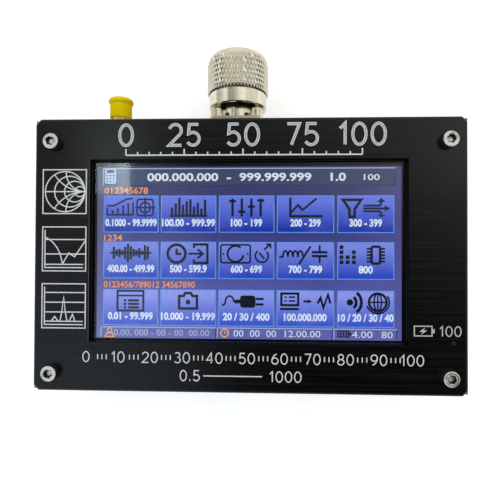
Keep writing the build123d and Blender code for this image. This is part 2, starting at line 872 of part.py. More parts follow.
terminal_plane = switch_plane.offset(-switch_body_depth)
with BuildPart() as switch_terminals:
    with BuildSketch(terminal_plane):
        with GridLocations(terminal_spacing, 1, 2, 1):
            Rectangle(terminal_thickness, terminal_width)
    extrude(amount=-terminal_length)
switch_terminals.part.label = "switch_terminals"

terminal_end_x = right_face - switch_body_depth - terminal_length


def switch_lead(lead_y):
    """Wire from one switch terminal up to the board."""
    with BuildPart() as lead:
        with BuildLine():
            FilletPolyline(
                (terminal_end_x, lead_y, switch_z),
                (terminal_end_x - lead_reach, lead_y, switch_z),
                (terminal_end_x - lead_reach, lead_y, board_bottom),
                radius=lead_bend_radius,
            )
        with BuildSketch(Plane.YZ.offset(terminal_end_x)):
            with Locations((lead_y, switch_z)):
                Circle(lead_radius)
        sweep()
    return lead.part


with BuildPart() as switch_leads:
    for side in (-1, 1):
        add(switch_lead(switch_y + side * terminal_spacing / 2))
switch_leads.part.label = "switch_leads"

# ------------------------------------------------------------------------- N plug
n_axis = connector_axis(n_axis_x)
n_turning = turning_plane(n_axis_x)
ring_groove_start = nut_shoulder_start + (nut_shoulder_length - ring_groove_width) / 2
ring_start = ring_groove_start + (ring_groove_width - ring_thickness) / 2

with BuildPart() as n_body:
    # Square mounting flange against the outer face of the top wall.
    with BuildSketch(top_plane(n_axis_x)):
        RectangleRounded(n_flange_size, n_flange_size, n_flange_corner)
    extrude(amount=n_flange_thickness)
    # Stub through the wall, barrel with its ring groove, and the outer contact sleeve.
    with BuildSketch(n_turning):
        with BuildLine():
            Polyline(
                (0, -n_stub_length),
                (n_stub_radius, -n_stub_length),
                (n_stub_radius, 0),
                (n_barrel_radius, 0),
                (n_barrel_radius, ring_groove_start),
                (n_barrel_radius - ring_groove_depth, ring_groove_start),
                (n_barrel_radius - ring_groove_depth, ring_groove_start + ring_groove_width),
                (n_barrel_radius, ring_groove_start + ring_groove_width),
                (n_barrel_radius, n_barrel_end),
                (n_sleeve_radius, n_barrel_end),
                (n_sleeve_radius, n_sleeve_end),
                (0, n_sleeve_end),
                close=True,
            )
        make_face()
    revolve(axis=n_axis)
    with BuildSketch(top_plane(n_axis_x, n_sleeve_end)):
        Circle(n_bore_radius)
    extrude(amount=-(n_sleeve_end + n_stub_length), mode=Mode.SUBTRACT)
    with BuildSketch(top_plane(n_axis_x, n_flange_thickness)):
        with GridLocations(n_screw_pitch, n_screw_pitch, 2, 2):
            Circle(m25_radius + m25_hole_clearance)
    extrude(amount=-n_flange_thickness, mode=Mode.SUBTRACT)
    # Spring slots in the sleeve.
    with BuildSketch(top_plane(n_axis_x, n_sleeve_end)):
        with PolarLocations(0, n_sleeve_slots // 2, angular_range=180):
            Rectangle(2 * n_barrel_radius, n_slot_width)
    extrude(amount=-n_slot_length, mode=Mode.SUBTRACT)
    # Small radial holes round the foot of the barrel, which pin the insulator.
    for step in range(n_weep_holes):
        weep_angle = 360 / n_weep_holes * (step + 0.5)
        ring_plane = top_plane(n_axis_x, n_flange_thickness + n_weep_height)
        outwards = ring_plane.rotated((0, 0, weep_angle)).x_dir
        weep_origin = ring_plane.origin + outwards * n_barrel_radius
        with BuildSketch(Plane(origin=weep_origin, z_dir=outwards)):
            Circle(n_weep_radius)
        extrude(amount=-n_weep_depth, mode=Mode.SUBTRACT)
n_body.part.label = "n_body"

with BuildPart() as n_insulator:
    with BuildSketch(top_plane(n_axis_x, -n_stub_length)):
        Circle(n_bore_radius - n_fit_clearance)
        Circle(n_pin_base_radius + n_fit_clearance, mode=Mode.SUBTRACT)
    extrude(amount=n_insulator_end + n_stub_length)
n_insulator.part.label = "n_insulator"

n_tail_end = -n_stub_length - n_tail_length
n_pin_end = n_sleeve_end - n_pin_recess

with BuildPart() as n_center_pin:
    with BuildSketch(n_turning):
        with BuildLine():
            Polyline(
                (0, n_tail_end),
                (n_pin_base_radius, n_tail_end),
                (n_pin_base_radius, n_insulator_end),
                (n_pin_radius, n_insulator_end),
                (n_pin_radius, n_pin_end - n_pin_tip_length),
                (n_pin_tip_radius, n_pin_end),
                (0, n_pin_end),
                close=True,
            )
        make_face()
    revolve(axis=n_axis)
n_center_pin.part.label = "n_center_pin"

with BuildPart() as n_snap_ring:
    with BuildSketch(top_plane(n_axis_x, ring_start)):
        Circle(n_barrel_radius + ring_reach)
        Circle(n_barrel_radius - ring_groove_depth + n_fit_clearance, mode=Mode.SUBTRACT)
        with Locations((0, -n_barrel_radius)):
            Rectangle(ring_gap_width, n_barrel_radius, mode=Mode.SUBTRACT)
    extrude(amount=ring_thickness)
n_snap_ring.part.label = "n_snap_ring"

with BuildPart() as n_coupling_nut:
    with BuildSketch(n_turning):
        nose_start = (nut_radius, n_mouth - nut_nose_length)
        nose_end = (nut_nose_radius, n_mouth)
        shoulder_radius = n_barrel_radius + n_fit_clearance
        groove_radius = n_barrel_radius + ring_reach + 2 * n_fit_clearance
        with BuildLine():
            Polyline(
                (shoulder_radius, nut_shoulder_start),
                (nut_skirt_radius, nut_shoulder_start),
                (nut_skirt_radius, nut_start),
                (nut_band_radius, nut_start),
                (nut_band_radius, nut_start + nut_band_length),
                (nut_radius, nut_start + nut_band_length),
                nose_start,
            )
            TangentArc(nose_start, nose_end, tangent=(0, 1))
            Polyline(
                nose_end,
                (nut_thread_radius + nut_mouth_chamfer, n_mouth),
                (nut_thread_radius, n_mouth - nut_mouth_chamfer),
                (nut_thread_radius, nut_shoulder_end),
                (shoulder_radius, nut_shoulder_end),
                (shoulder_radius, ring_groove_start + ring_groove_width),
                (groove_radius, ring_groove_start + ring_groove_width),
                (groove_radius, ring_groove_start),
                (shoulder_radius, ring_groove_start),
                (shoulder_radius, nut_shoulder_start),
            )
        make_face()
    revolve(axis=n_axis)
n_coupling_nut.part.label = "n_coupling_nut"

with BuildPart() as n_seal:
    with BuildSketch(top_plane(n_axis_x, nut_shoulder_end)):
        Circle(nut_thread_radius - n_fit_clearance)
        Circle(n_barrel_radius + seal_clearance, mode=Mode.SUBTRACT)
    extrude(amount=seal_thickness)
n_seal.part.label = "n_seal"

with BuildPart() as n_flange_screws:
    with BuildSketch(top_plane(n_axis_x, n_flange_thickness)):
        with GridLocations(n_screw_pitch, n_screw_pitch, 2, 2):
            Circle(n_screw_head_radius)
    extrude(amount=n_screw_head_height)
    fillet(n_flange_screws.edges().group_by(Axis.Y)[-1], n_screw_head_round)
    with BuildSketch(top_plane(n_axis_x, n_flange_thickness)):
        with GridLocations(n_screw_pitch, n_screw_pitch, 2, 2):
            Circle(m25_radius)
    extrude(amount=-n_screw_length)
    with BuildSketch(top_plane(n_axis_x, n_flange_thickness + n_screw_head_height)):
        with GridLocations(n_screw_pitch, n_screw_pitch, 2, 2):
            RegularPolygon(flats_to_radius(n_screw_socket_flats), 6)
    extrude(amount=-n_screw_socket_depth, mode=Mode.SUBTRACT)
n_flange_screws.part.label = "n_flange_screws"

# ------------------------------------------------------------------------ SMA jack
sma_axis = connector_axis(sma_axis_x)
sma_turning = turning_plane(sma_axis_x)

with BuildPart() as sma_body:
    # Hex shoulder inside the wall, threaded barrel through it.
    with BuildSketch(top_plane(sma_axis_x, -frame_wall)):
        RegularPolygon(flats_to_radius(sma_hex_flats), 6)
    extrude(amount=-sma_hex_thickness)
    with BuildSketch(top_plane(sma_axis_x, sma_stub_end)):
        Circle(sma_stub_radius)
    extrude(amount=sma_stub_length)
    with BuildSketch(top_plane(sma_axis_x, -frame_wall)):
        Circle(sma_thread_radius)
    extrude(amount=sma_thread_end + frame_wall)
    chamfer(sma_body.edges().group_by(Axis.Y)[-1], sma_end_chamfer)
    with BuildSketch(top_plane(sma_axis_x, sma_stub_end)):
        Circle(sma_bore_radius)
    extrude(amount=sma_thread_end - sma_stub_end, mode=Mode.SUBTRACT)
sma_body.part.label = "sma_body"

with BuildPart() as sma_insulator:
    with BuildSketch(top_plane(sma_axis_x, sma_stub_end)):
        Circle(sma_bore_radius - sma_fit_clearance)
        Circle(sma_pin_radius + sma_fit_clearance, mode=Mode.SUBTRACT)
    extrude(amount=sma_thread_end - sma_stub_end)
sma_insulator.part.label = "sma_insulator"

with BuildPart() as sma_center_contact:
    with BuildSketch(top_plane(sma_axis_x, sma_stub_end - sma_tail_length)):
        Circle(sma_pin_radius)
    extrude(amount=sma_thread_end - sma_stub_end + sma_tail_length)
    with BuildSketch(top_plane(sma_axis_x, sma_thread_end)):
        Circle(sma_socket_radius)
    extrude(amount=-sma_socket_depth, mode=Mode.SUBTRACT)
sma_center_contact.part.label = "sma_center_contact"

with BuildPart() as sma_lock_washer:
    with BuildSketch(top_plane(sma_axis_x)):
        Circle(sma_washer_radius)
        Circle(sma_thread_radius + sma_hole_clearance, mode=Mode.SUBTRACT)
        with PolarLocations(sma_thread_radius + sma_hole_clearance, sma_washer_notches):
            Rectangle(sma_washer_notch_size, sma_washer_notch_size, mode=Mode.SUBTRACT)
    extrude(amount=sma_washer_thickness)
sma_lock_washer.part.label = "sma_lock_washer"

with BuildPart() as sma_nut:
    with BuildSketch(top_plane(sma_axis_x, sma_washer_thickness)):
        RegularPolygon(flats_to_radius(sma_hex_flats), 6)
        Circle(sma_thread_radius + sma_fit_clearance, mode=Mode.SUBTRACT)
    extrude(amount=sma_nut_thickness)
sma_nut.part.label = "sma_nut"

with BuildPart() as sma_dust_cap:
    inner_radius = sma_thread_radius + cap_slip
    rim_start = cap_top - cap_rim_length
    with BuildSketch(sma_turning):
        with BuildLine():
            Polyline(
                (inner_radius, cap_start),
                (cap_radius, cap_start),
                (cap_radius, rim_start),
                (cap_rim_radius, rim_start + cap_rim_flare),
                (cap_rim_radius, cap_top),
                (0, cap_top),
                (0, cap_inner_end),
                (inner_radius, cap_inner_end),
                close=True,
            )
        make_face()
    revolve(axis=sma_axis)
    fillet(sma_dust_cap.faces().sort_by(Axis.Y)[-1].edges(), cap_dome_round)
sma_dust_cap.part.label = "sma_dust_cap"


def signal_wire(x, tail_end):
    """Bare wire from a connector's tail up to the under side of the board."""
    start_y = top_face + tail_end
    turn_y = start_y - 2 * signal_wire_bend
    with BuildPart() as wire:
        with BuildLine():
            FilletPolyline(
                (x, start_y, connector_z),
                (x, turn_y, connector_z),
                (x, turn_y, board_bottom),
                radius=signal_wire_bend,
            )
        with BuildSketch(top_plane(x, tail_end)):
            Circle(signal_wire_radius)
        sweep()
    return wire.part


with BuildPart() as signal_wires:
    add(signal_wire(n_axis_x, n_tail_end))
    add(signal_wire(sma_axis_x, sma_stub_end - sma_tail_length))
signal_wires.part.label = "signal_wires"

# ------------------------------------------------------------------------- files
pieces = [
    front_panel,
    case_frame,
    rear_panel,
    front_panel_screws,
    rear_panel_screws,
    display_gasket,
    touch_panel,
    lcd_bezel,
    lcd_panel,
    backlight,
    lcd_ribbon,
    ribbon_socket,
    main_board,
    board_spacers,
    board_screws,
    processor,
    memory_chip,
    small_chips,
    rf_shield,
    battery_pad,
    battery_pack,
    battery_plug,
    battery_lead_red,
    battery_lead_black,
    charge_lamp_chip,
    charge_lamp_rod,
    charge_usb_socket,
    data_usb_socket,
    card_socket,
    memory_card,
    switch_body,
    switch_rocker,
    switch_terminals,
    switch_leads,
    n_body,
    n_insulator,
    n_center_pin,
    n_snap_ring,
    n_coupling_nut,
    n_seal,
    n_flange_screws,
    sma_body,
    sma_insulator,
    sma_center_contact,
    sma_lock_washer,
    sma_nut,
    sma_dust_cap,
    signal_wires,
]
os.makedirs("parts", exist_ok=True)
for piece in pieces:
    export_step(piece.part, f"parts/{piece.part.label}.step")
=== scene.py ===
from math import atan, cos, degrees, pi, radians, sin, sqrt, tan

import bpy
from mathutils import Matrix, Vector


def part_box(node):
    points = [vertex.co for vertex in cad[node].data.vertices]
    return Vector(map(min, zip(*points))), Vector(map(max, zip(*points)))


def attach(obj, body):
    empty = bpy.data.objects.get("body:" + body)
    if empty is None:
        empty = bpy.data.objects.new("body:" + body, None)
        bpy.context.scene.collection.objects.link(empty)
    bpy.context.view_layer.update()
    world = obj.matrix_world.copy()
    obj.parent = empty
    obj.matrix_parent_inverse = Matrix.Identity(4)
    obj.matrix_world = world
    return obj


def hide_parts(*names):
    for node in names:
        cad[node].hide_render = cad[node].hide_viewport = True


# Looks of a handheld antenna analyzer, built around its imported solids. Lengths are in
# millimetres in this file's tables and functions, and in metres in Blender.
MM = 0.001

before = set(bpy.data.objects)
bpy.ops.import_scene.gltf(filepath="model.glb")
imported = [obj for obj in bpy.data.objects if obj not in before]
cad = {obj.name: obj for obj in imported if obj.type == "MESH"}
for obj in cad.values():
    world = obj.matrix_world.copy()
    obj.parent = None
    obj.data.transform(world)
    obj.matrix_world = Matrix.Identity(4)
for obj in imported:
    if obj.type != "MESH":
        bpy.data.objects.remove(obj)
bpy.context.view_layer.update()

# ---------------------------------------------------------------- places taken from the solids
def box_mm(node_name):
    """The lowest and highest corner of a node, in millimetres."""
    return [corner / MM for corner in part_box(node_name)]


PANEL_LOW, PANEL_HIGH = box_mm("front_panel")
FRONT_Z = PANEL_HIGH.z
CELL_Z = box_mm("lcd_panel")[1].z
FRAME_HIGH = box_mm("case_frame")[1]
WALL_Y = FRAME_HIGH.y
NUT_LOW, NUT_HIGH = box_mm("n_coupling_nut")
NUT_X = (NUT_LOW.x + NUT_HIGH.x) / 2
NUT_RADIUS = (NUT_HIGH.x - NUT_LOW.x) / 2
AXIS_Z = (NUT_LOW.z + NUT_HIGH.z) / 2
SMA_LOW, SMA_HIGH = box_mm("sma_body")
SMA_X = (SMA_LOW.x + SMA_HIGH.x) / 2
SCREWS_LOW, SCREWS_HIGH = box_mm("front_panel_screws")

# Sizes that the solids have, and that no box gives.
CORNER_CUT = 1.6
WINDOW = Vector((-0.25, 1.25))
WINDOW_SIZE = Vector((97.1, 55.8))
SCREW_HEAD_RADIUS = 2.35
KNURL_START = 4.85
NOSE = 3.4
NOSE_RADIUS = 9.2
BARREL_RADIUS = 6.0
HOLE_HEIGHT = 3.8

# The display's active area: its middle and its size.
SCREEN = Vector((-0.14, 0.755))
ACTIVE = Vector((95.04, 53.86))


# ----------------------------------------------------------------------------- colours
def linear(value):
    """One 0-255 display value as linear light."""
    value /= 255
    return value / 12.92 if value <= 0.04045 else ((value + 0.055) / 1.055) ** 2.4


def rgb(red, green, blue):
    return (linear(red), linear(green), linear(blue), 1.0)


def grey(value):
    return rgb(value, value, value)


# --------------------------------------------------------------------------- materials
class Graph:
    """A material's nodes, with short calls for the patterns that the surfaces share."""

    def __init__(self, name, owner=None):
        self.material = owner or bpy.data.materials.new(name)
        self.material.use_nodes = True
        self.nodes = self.material.node_tree.nodes
        self.links = self.material.node_tree.links
        self.nodes.clear()
        kind = "Generated" if owner else "Object"
        self.place = self.nodes.new("ShaderNodeTexCoord").outputs[kind]

    def put(self, socket, value):
        if isinstance(value, bpy.types.NodeSocket):
            self.links.new(value, socket)
        else:
            socket.default_value = value

    def math(self, operation, first, second=0.0):
        node = self.nodes.new("ShaderNodeMath")
        node.operation = operation
        self.put(node.inputs[0], first)
        self.put(node.inputs[1], second)
        return node.outputs[0]

    def product(self, first, *others):
        for other in others:
            first = self.math("MULTIPLY", first, other)
        return first

    def blend(self, first, second, share):
        """Two patterns added up, the second with this share."""
        return self.math("ADD", self.product(first, 1 - share), self.product(second, share))

    def away(self, value, centre):
        """How far a place along an axis is from a centre in millimetres."""
        return self.math("ABSOLUTE", self.math("SUBTRACT", value, centre * MM))

    def hypotenuse(self, first, second):
        squares = [self.math("POWER", side, 2.0) for side in (first, second)]
        return self.math("SQRT", self.math("ADD", *squares))

    def axes(self):
        node = self.nodes.new("ShaderNodeSeparateXYZ")
        self.put(node.inputs[0], self.place)
        return node.outputs

    def stretched(self, per_x, per_y, per_z):
        """Place scaled to a number of features per metre along each axis."""
        node = self.nodes.new("ShaderNodeMapping")
        self.put(node.inputs["Vector"], self.place)
        node.inputs["Scale"].default_value = (per_x, per_y, per_z)
        return node.outputs[0]

    def noise(self, scale, detail=3.0, roughness=0.55, place=None):
        node = self.nodes.new("ShaderNodeTexNoise")
        self.put(node.inputs["Vector"], place or self.place)
        node.inputs["Scale"].default_value = scale
        node.inputs["Detail"].default_value = detail
        node.inputs["Roughness"].default_value = roughness
        return node.outputs["Fac"]

    def cells(self, scale):
        node = self.nodes.new("ShaderNodeTexVoronoi")
        self.put(node.inputs["Vector"], self.place)
        node.inputs["Scale"].default_value = scale
        return node.outputs["Distance"]

    def span(self, value, low, high, to_low=0.0, to_high=1.0, smooth=False):
        node = self.nodes.new("ShaderNodeMapRange")
        node.clamp = True
        if smooth:
            node.interpolation_type = "SMOOTHSTEP"
        for socket, number in zip(node.inputs, (value, low, high, to_low, to_high)):
            self.put(socket, number)
        return node.outputs[0]

    def ramp(self, value, stops):
        node = self.nodes.new("ShaderNodeValToRGB")
        self.put(node.inputs[0], value)
        elements = node.color_ramp.elements
        while len(elements) < len(stops):
            elements.new(0.5)
        for element, (position, colour) in zip(elements, stops):
            element.position = position
            element.color = colour
        return node.outputs[0]

    def mix(self, share, first, second):
        """Two colours mixed. The node's colour sockets come after those for numbers."""
        node = self.nodes.new("ShaderNodeMix")
        node.data_type = "RGBA"
        for number, value in ((0, share), (6, first), (7, second)):
            self.put(node.inputs[number], value)
        return node.outputs[2]

    def bump(self, height, distance, strength):
        node = self.nodes.new("ShaderNodeBump")
        node.inputs["Strength"].default_value = strength
        node.inputs["Distance"].default_value = distance
        self.put(node.inputs["Height"], height)
        return node.outputs[0]

    def finish(self, shader):
        output = self.nodes.new("ShaderNodeOutputMaterial")
        self.put(output.inputs["Surface"], shader)
        return self.material

    def surface(self, **inputs):
        """Finishes with a Principled shader; underscores in the names stand for spaces."""
        node = self.nodes.new("ShaderNodeBsdfPrincipled")
        for name, value in inputs.items():
            self.put(node.inputs[name.replace("_", " ")], value)
        return self.finish(node.outputs[0])

    def screen_light(self, colour):
        """Finishes as a part of the lit screen image."""
        unlit = (0.004, 0.004, 0.005, 1)
        return self.surface(
            Base_Color=unlit, Roughness=0.3, Emission_Color=colour, Emission_Strength=1.0
        )


def anodised_panel():
    """Black anodised plate, brushed along X, bare metal where its corners are cut off."""
    g = Graph("black_panel")
    hairlines = g.noise(1.0, 4, 0.65, g.stretched(45, 9000, 9000))
    streaks = g.noise(1.0, 3, 0.6, g.stretched(14, 1400, 1400))
    clouds = g.noise(26, 3)
    x, y, z = g.axes()
    grain = g.blend(hairlines, streaks, 0.55)
    black = g.ramp(grain, [(0.36, rgb(2, 2, 3)), (0.5, rgb(6, 6, 7)), (0.64, rgb(23, 23, 24))])
    black = g.mix(g.span(clouds, 0.35, 0.7, 0.0, 0.35), black, rgb(6, 6, 7))
    # The cut across each corner: the anodising is worn off the rounded edge.
    reach = g.math("ADD", g.math("ABSOLUTE", x), g.math("ABSOLUTE", y))
    half = (PANEL_HIGH - PANEL_LOW) / 2
    cut_line = (half.x + half.y - CORNER_CUT) * MM
    ragged = g.math("ADD", reach, g.product(g.noise(900, 2), 0.0002))
    near_front = g.span(z, (FRONT_Z - 0.9) * MM, (FRONT_Z - 0.7) * MM)
    bare = g.product(g.span(ragged, cut_line - 0.0005, cut_line - 0.00036), near_front)
    colour = g.mix(bare, black, grey(112))
    # Painted shade darkens the window's edge walls and chamfers, which are also dull; a painted
    # highlight lightens the left chamfer.
    window_edge_shade = g.math("LESS_THAN", z, (FRONT_Z - 0.01) * MM)
    for value, centre, size in ((x, WINDOW.x, WINDOW_SIZE.x), (y, WINDOW.y, WINDOW_SIZE.y)):
        within = g.math("LESS_THAN", g.away(value, centre), (size / 2 + 0.2) * MM)
        window_edge_shade = g.product(window_edge_shade, within)
    left_edge = (WINDOW.x - WINDOW_SIZE.x / 2 + 0.02) * MM
    chamfer = g.math("GREATER_THAN", z, (FRONT_Z - 0.3) * MM)
    left_chamfer_highlight = g.product(window_edge_shade, g.math("LESS_THAN", x, left_edge), chamfer)
    colour = g.mix(window_edge_shade, colour, grey(3))
    colour = g.mix(left_chamfer_highlight, colour, grey(84))
    return g.surface(
        Base_Color=colour,
        Metallic=g.product(bare, 0.7),
        Roughness=g.span(grain, 0.3, 0.75, 0.2, 0.3),
        Specular_IOR_Level=g.span(window_edge_shade, 0.0, 1.0, 0.27, 0.03),
        Normal=g.bump(grain, 0.00002, 0.5),
    )


def milled_frame():
    """Black anodised frame with fine cutter marks running up its walls."""
    g = Graph("black_frame")
    marks = g.noise(1.0, 3, 0.6, g.stretched(2600, 2600, 120))
    grit = g.noise(9000, 2)
    both = g.blend(marks, grit, 0.4)
    colour = g.ramp(both, [(0.3, rgb(7, 7, 8)), (0.7, rgb(16, 16, 17))])
    # A painted highlight makes the front edges along the sides a little lighter and olive.
    x, _, z = g.axes()
    edge_highlight_band = g.span(g.away(x, 0.0), (FRAME_HIGH.x - 0.5) * MM, (FRAME_HIGH.x - 0.4) * MM)
    near_front = g.span(z, (FRAME_HIGH.z - 0.8) * MM, (FRAME_HIGH.z - 0.6) * MM)
    colour = g.mix(g.product(edge_highlight_band, near_front), colour, rgb(74, 72, 54))
    return g.surface(
        Base_Color=colour,
        Roughness=g.span(both, 0.3, 0.7, 0.36, 0.52),
        Specular_IOR_Level=0.25,
        Normal=g.bump(both, 0.000015, 0.4),
    )


def metal(name, colour, dull, roughness, scratch=3000, lines=None, shaded=None):
    """Bare or plated metal with fine scratches; shaded paints the shade of its recesses into its
    colour.
    """
    g = Graph(name)
    place = g.stretched(*lines) if lines else g.place
    fine = g.noise(1.0 if lines else scratch, 4, 0.6, place)
    patches = g.noise(320, 3)
    tone = g.blend(fine, patches, 0.5)
    face, metallic = g.ramp(tone, [(0.3, dull), (0.6, colour)]), 1.0
    # Painted shade: recesses are darkened to near black and made non-metallic.
    if shaded:
        shade = shaded(g)
        face, metallic = g.mix(shade, face, rgb(26, 24, 18)), g.math("SUBTRACT", 1.0, shade)
    return g.surface(
        Base_Color=face,
        Metallic=metallic,
        Roughness=g.span(tone, 0.3, 0.7, roughness * 0.8, roughness * 1.3),
        Normal=g.bump(fine, 0.000004, 0.5),
    )


def cap_screw_steel():
    """Steel with painted shade on its steep faces, the knurled sides among them, and darker painted
    shade down the sockets round an unshaded cone.
    """
    g = Graph("cap_screw_steel")
    fine = g.noise(2500, 3, 0.5)
    middle, half = (SCREWS_LOW + SCREWS_HIGH) / 2, (SCREWS_HIGH - SCREWS_LOW) / 2
    x, y, z = g.axes()
    aside = []
    for value, centre, reach in ((x, middle.x, half.x), (y, middle.y, half.y)):
        to_axis = (reach - SCREW_HEAD_RADIUS) * MM
        aside.append(g.math("SUBTRACT", g.away(value, centre), to_axis))
    radius = g.hypotenuse(*aside)
    # Painted shade down each socket, but for the cone at its bottom.
    below_rim = g.math("LESS_THAN", z, (SCREWS_HIGH.z - 0.16) * MM)
    in_socket = g.math("LESS_THAN", radius, 0.00152)
    socket_shade = g.product(below_rim, g.span(radius, 0.00055, 0.0008), in_socket)
    upright = g.nodes.new("ShaderNodeSeparateXYZ")
    g.links.new(g.nodes.new("ShaderNodeNewGeometry").outputs["Normal"], upright.inputs[0])
    # Painted shade on the steep faces, such as the knurled sides and the socket walls.
    steep_face_shade = g.span(g.math("ABSOLUTE", upright.outputs["Z"]), 0.25, 0.55, 1.0, 0.0)
    bright = g.ramp(fine, [(0.3, rgb(200, 198, 190)), (0.65, rgb(218, 215, 207))])
    sides = g.mix(steep_face_shade, bright, rgb(122, 117, 108))
    return g.surface(
        Base_Color=g.mix(socket_shade, sides, rgb(62, 54, 46)),
        Metallic=1.0,
        Roughness=g.span(fine, 0.3, 0.7, 0.3, 0.42),
        Normal=g.bump(fine, 0.000003, 0.4),
    )


def moulded(name, colour, dull, roughness, scale, depth=0.00001, gloss=0.5):
    """Moulded or painted plastic with a fine grain."""
    g = Graph(name)
    grain = g.noise(scale, 3)
    shade = g.noise(140, 3)
    return g.surface(
        Base_Color=g.ramp(shade, [(0.3, dull), (0.65, colour)]),
        Roughness=g.span(grain, 0.3, 0.7, roughness * 0.85, roughness * 1.15),
        Specular_IOR_Level=gloss,
        Normal=g.bump(grain, depth, 0.4),
    )


def foam(name, colour, dull):
    """Closed-cell foam: small pits all over."""
    g = Graph(name)
    pits = g.cells(3500)
    return g.surface(
        Base_Color=g.ramp(pits, [(0.1, dull), (0.5, colour)]),
        Roughness=0.9,
        Normal=g.bump(pits, 0.00006, 0.6),
    )


def circuit_board():
    """Green solder mask over faint copper tracks."""
    g = Graph("circuit_board")
    bricks = g.nodes.new("ShaderNodeTexBrick")
    g.put(bricks.inputs["Vector"], g.stretched(420, 420, 420))
    for name, value in (("Scale", 1.0), ("Mortar Size", 0.06), ("Bias", 0.2)):
        bricks.inputs[name].default_value = value
    bricks.inputs["Color1"].default_value = rgb(12, 74, 40)
    bricks.inputs["Color2"].default_value = rgb(16, 86, 47)
    bricks.inputs["Mortar"].default_value = rgb(34, 120, 66)
    grit = g.noise(2200, 2)
    return g.surface(
        Base_Color=g.mix(g.span(grit, 0.4, 0.8, 0.0, 0.25), bricks.outputs[0], rgb(8, 48, 26)),
        Roughness=0.32,
        Coat_Weight=0.3,
        Normal=g.bump(bricks.outputs["Fac"], 0.00002, 0.3),
    )


def display_cell():
    """Lit display: a bluish haze inside the active area and black glass round it."""
    g = Graph("display_cell")
    x, y, z = g.axes()
    low, high = (SCREEN - ACTIVE / 2) * MM, (SCREEN + ACTIVE / 2) * MM
    haze = g.ramp(
        g.span(y, low.y, high.y),
        [
            (0.0, rgb(104, 108, 184)),
            (0.25, rgb(90, 93, 176)),
            (0.6, rgb(62, 64, 134)),
            (0.85, rgb(60, 60, 110)),
            (1.0, rgb(56, 62, 98)),
        ],
    )
    haze = g.mix(g.span(x, low.x, low.x + 0.012, 0.3, 0.0), haze, rgb(128, 128, 160))
    haze = g.mix(g.span(x, high.x - 0.016, high.x, 0.0, 0.35), haze, rgb(102, 94, 168))
    cloud = g.noise(38, 2)
    haze = g.mix(g.span(cloud, 0.4, 0.75, 0.0, 0.3), haze, rgb(50, 52, 112))
    inside = g.math("GREATER_THAN", z, (CELL_Z - 0.05) * MM)
    for value, near, far in ((x, low.x, high.x), (y, low.y, high.y)):
        past_near = g.math("GREATER_THAN", value, near)
        inside = g.product(inside, past_near, g.math("LESS_THAN", value, far))
    glow = g.mix(inside, (0, 0, 0, 1), haze)
    return g.surface(
        Base_Color=g.ramp(g.noise(400, 2), [(0.3, grey(8)), (0.7, grey(14))]),
        Roughness=0.25,
        Emission_Color=glow,
        Emission_Strength=1.0,
    )


def glowing(name, colour, variation=None, pattern=True):
    """One colour of the screen image, in the display's fine pixel rows or in soft clouds."""
    g = Graph(name)
    second = variation or tuple(c * 0.88 for c in colour[:3]) + (1.0,)
    if pattern:
        share = g.span(g.noise(1.0, 2, 0.5, g.stretched(2400, 160, 1)), 0.42, 0.62)
    else:
        share = g.span(g.noise(300, 1), 0.3, 0.7)
    return g.screen_light(g.mix(share, colour, second))


def tile_glow(name, low_y, high_y, bottom, middle, top):
    """One row of menu tiles, lighter towards its upper edge, with faint pixel columns."""
    g = Graph(name)
    rise = g.span(g.axes()[1], low_y * MM, high_y * MM)
    face = g.ramp(rise, [(0.1, bottom), (0.5, middle), (0.85, top)])
    columns = g.noise(1.0, 2, 0.6, g.stretched(2100, 210, 1))
    face = g.mix(g.span(columns, 0.5, 0.75, 0.0, 0.2), face, rgb(44, 76, 206))
    blush = g.noise(90, 2)
    return g.screen_light(g.mix(g.span(blush, 0.5, 0.8, 0.0, 0.22), face, rgb(148, 142, 240)))


def clear_glass():
    """Cover glass: seen through, with a weak mirror image that grows towards grazing views."""
    g = Graph("touch_glass")
    see = g.nodes.new("ShaderNodeBsdfTransparent")
    see.inputs["Color"].default_value = (0.93, 0.95, 0.95, 1)
    gloss = g.nodes.new("ShaderNodeBsdfGlossy")
    gloss.inputs["Color"].default_value = (0.92, 0.98, 1.0, 1)
    smears = g.noise(55, 4, 0.6)
    g.put(gloss.inputs["Roughness"], g.span(smears, 0.35, 0.75, 0.05, 0.09))
    fresnel = g.nodes.new("ShaderNodeFresnel")
    fresnel.inputs["IOR"].default_value = 1.5
    outside = g.math("SUBTRACT", 1.0, g.nodes.new("ShaderNodeNewGeometry").outputs["Backfacing"])
    both = g.nodes.new("ShaderNodeMixShader")
    g.put(both.inputs[0], g.product(fresnel.outputs[0], outside))
    g.put(both.inputs[1], see.outputs[0])
    g.put(both.inputs[2], gloss.outputs[0])
    return g.finish(both.outputs[0])


def lamp_plastic():
    g = Graph("lamp_rod")
    shade = g.noise(1500, 2)
    return g.surface(
        Base_Color=g.ramp(shade, [(0.3, rgb(38, 3, 13)), (0.7, rgb(58, 4, 20))]),
        Roughness=0.25,
        Emission_Color=rgb(150, 4, 34),
        Emission_Strength=0.03,
    )


def from_connector_axis(g):
    """How far a place is sideways and upwards from the N connector's axis, and its y."""
    x, y, z = g.axes()
    return g.math("SUBTRACT", x, NUT_X * MM), g.math("SUBTRACT", z, AXIS_Z * MM), y


def groove_shade(g):
    """Painted shade at the bottom of the knurl's grooves and notches, whose crests curve in towards the
    mouth.
    """
    sideways, upwards, y = from_connector_axis(g)
    share = g.span(y, (NUT_HIGH.y - NOSE) * MM, NUT_HIGH.y * MM)
    crest = g.product(g.math("POWER", share, 2.0), (NOSE_RADIUS - NUT_RADIUS) * MM)
    crest = g.math("ADD", crest, NUT_RADIUS * MM)
    below = g.math("SUBTRACT", crest, g.hypotenuse(sideways, upwards))
    deep = g.span(below, 0.00024, 0.00036, 0.0, 0.18)
    deep = g.math("MAXIMUM", deep, g.span(below, 0.00042, 0.00055, 0.0, 0.95))
    return g.product(deep, g.math("GREATER_THAN", y, (NUT_LOW.y + KNURL_START - 0.02) * MM))


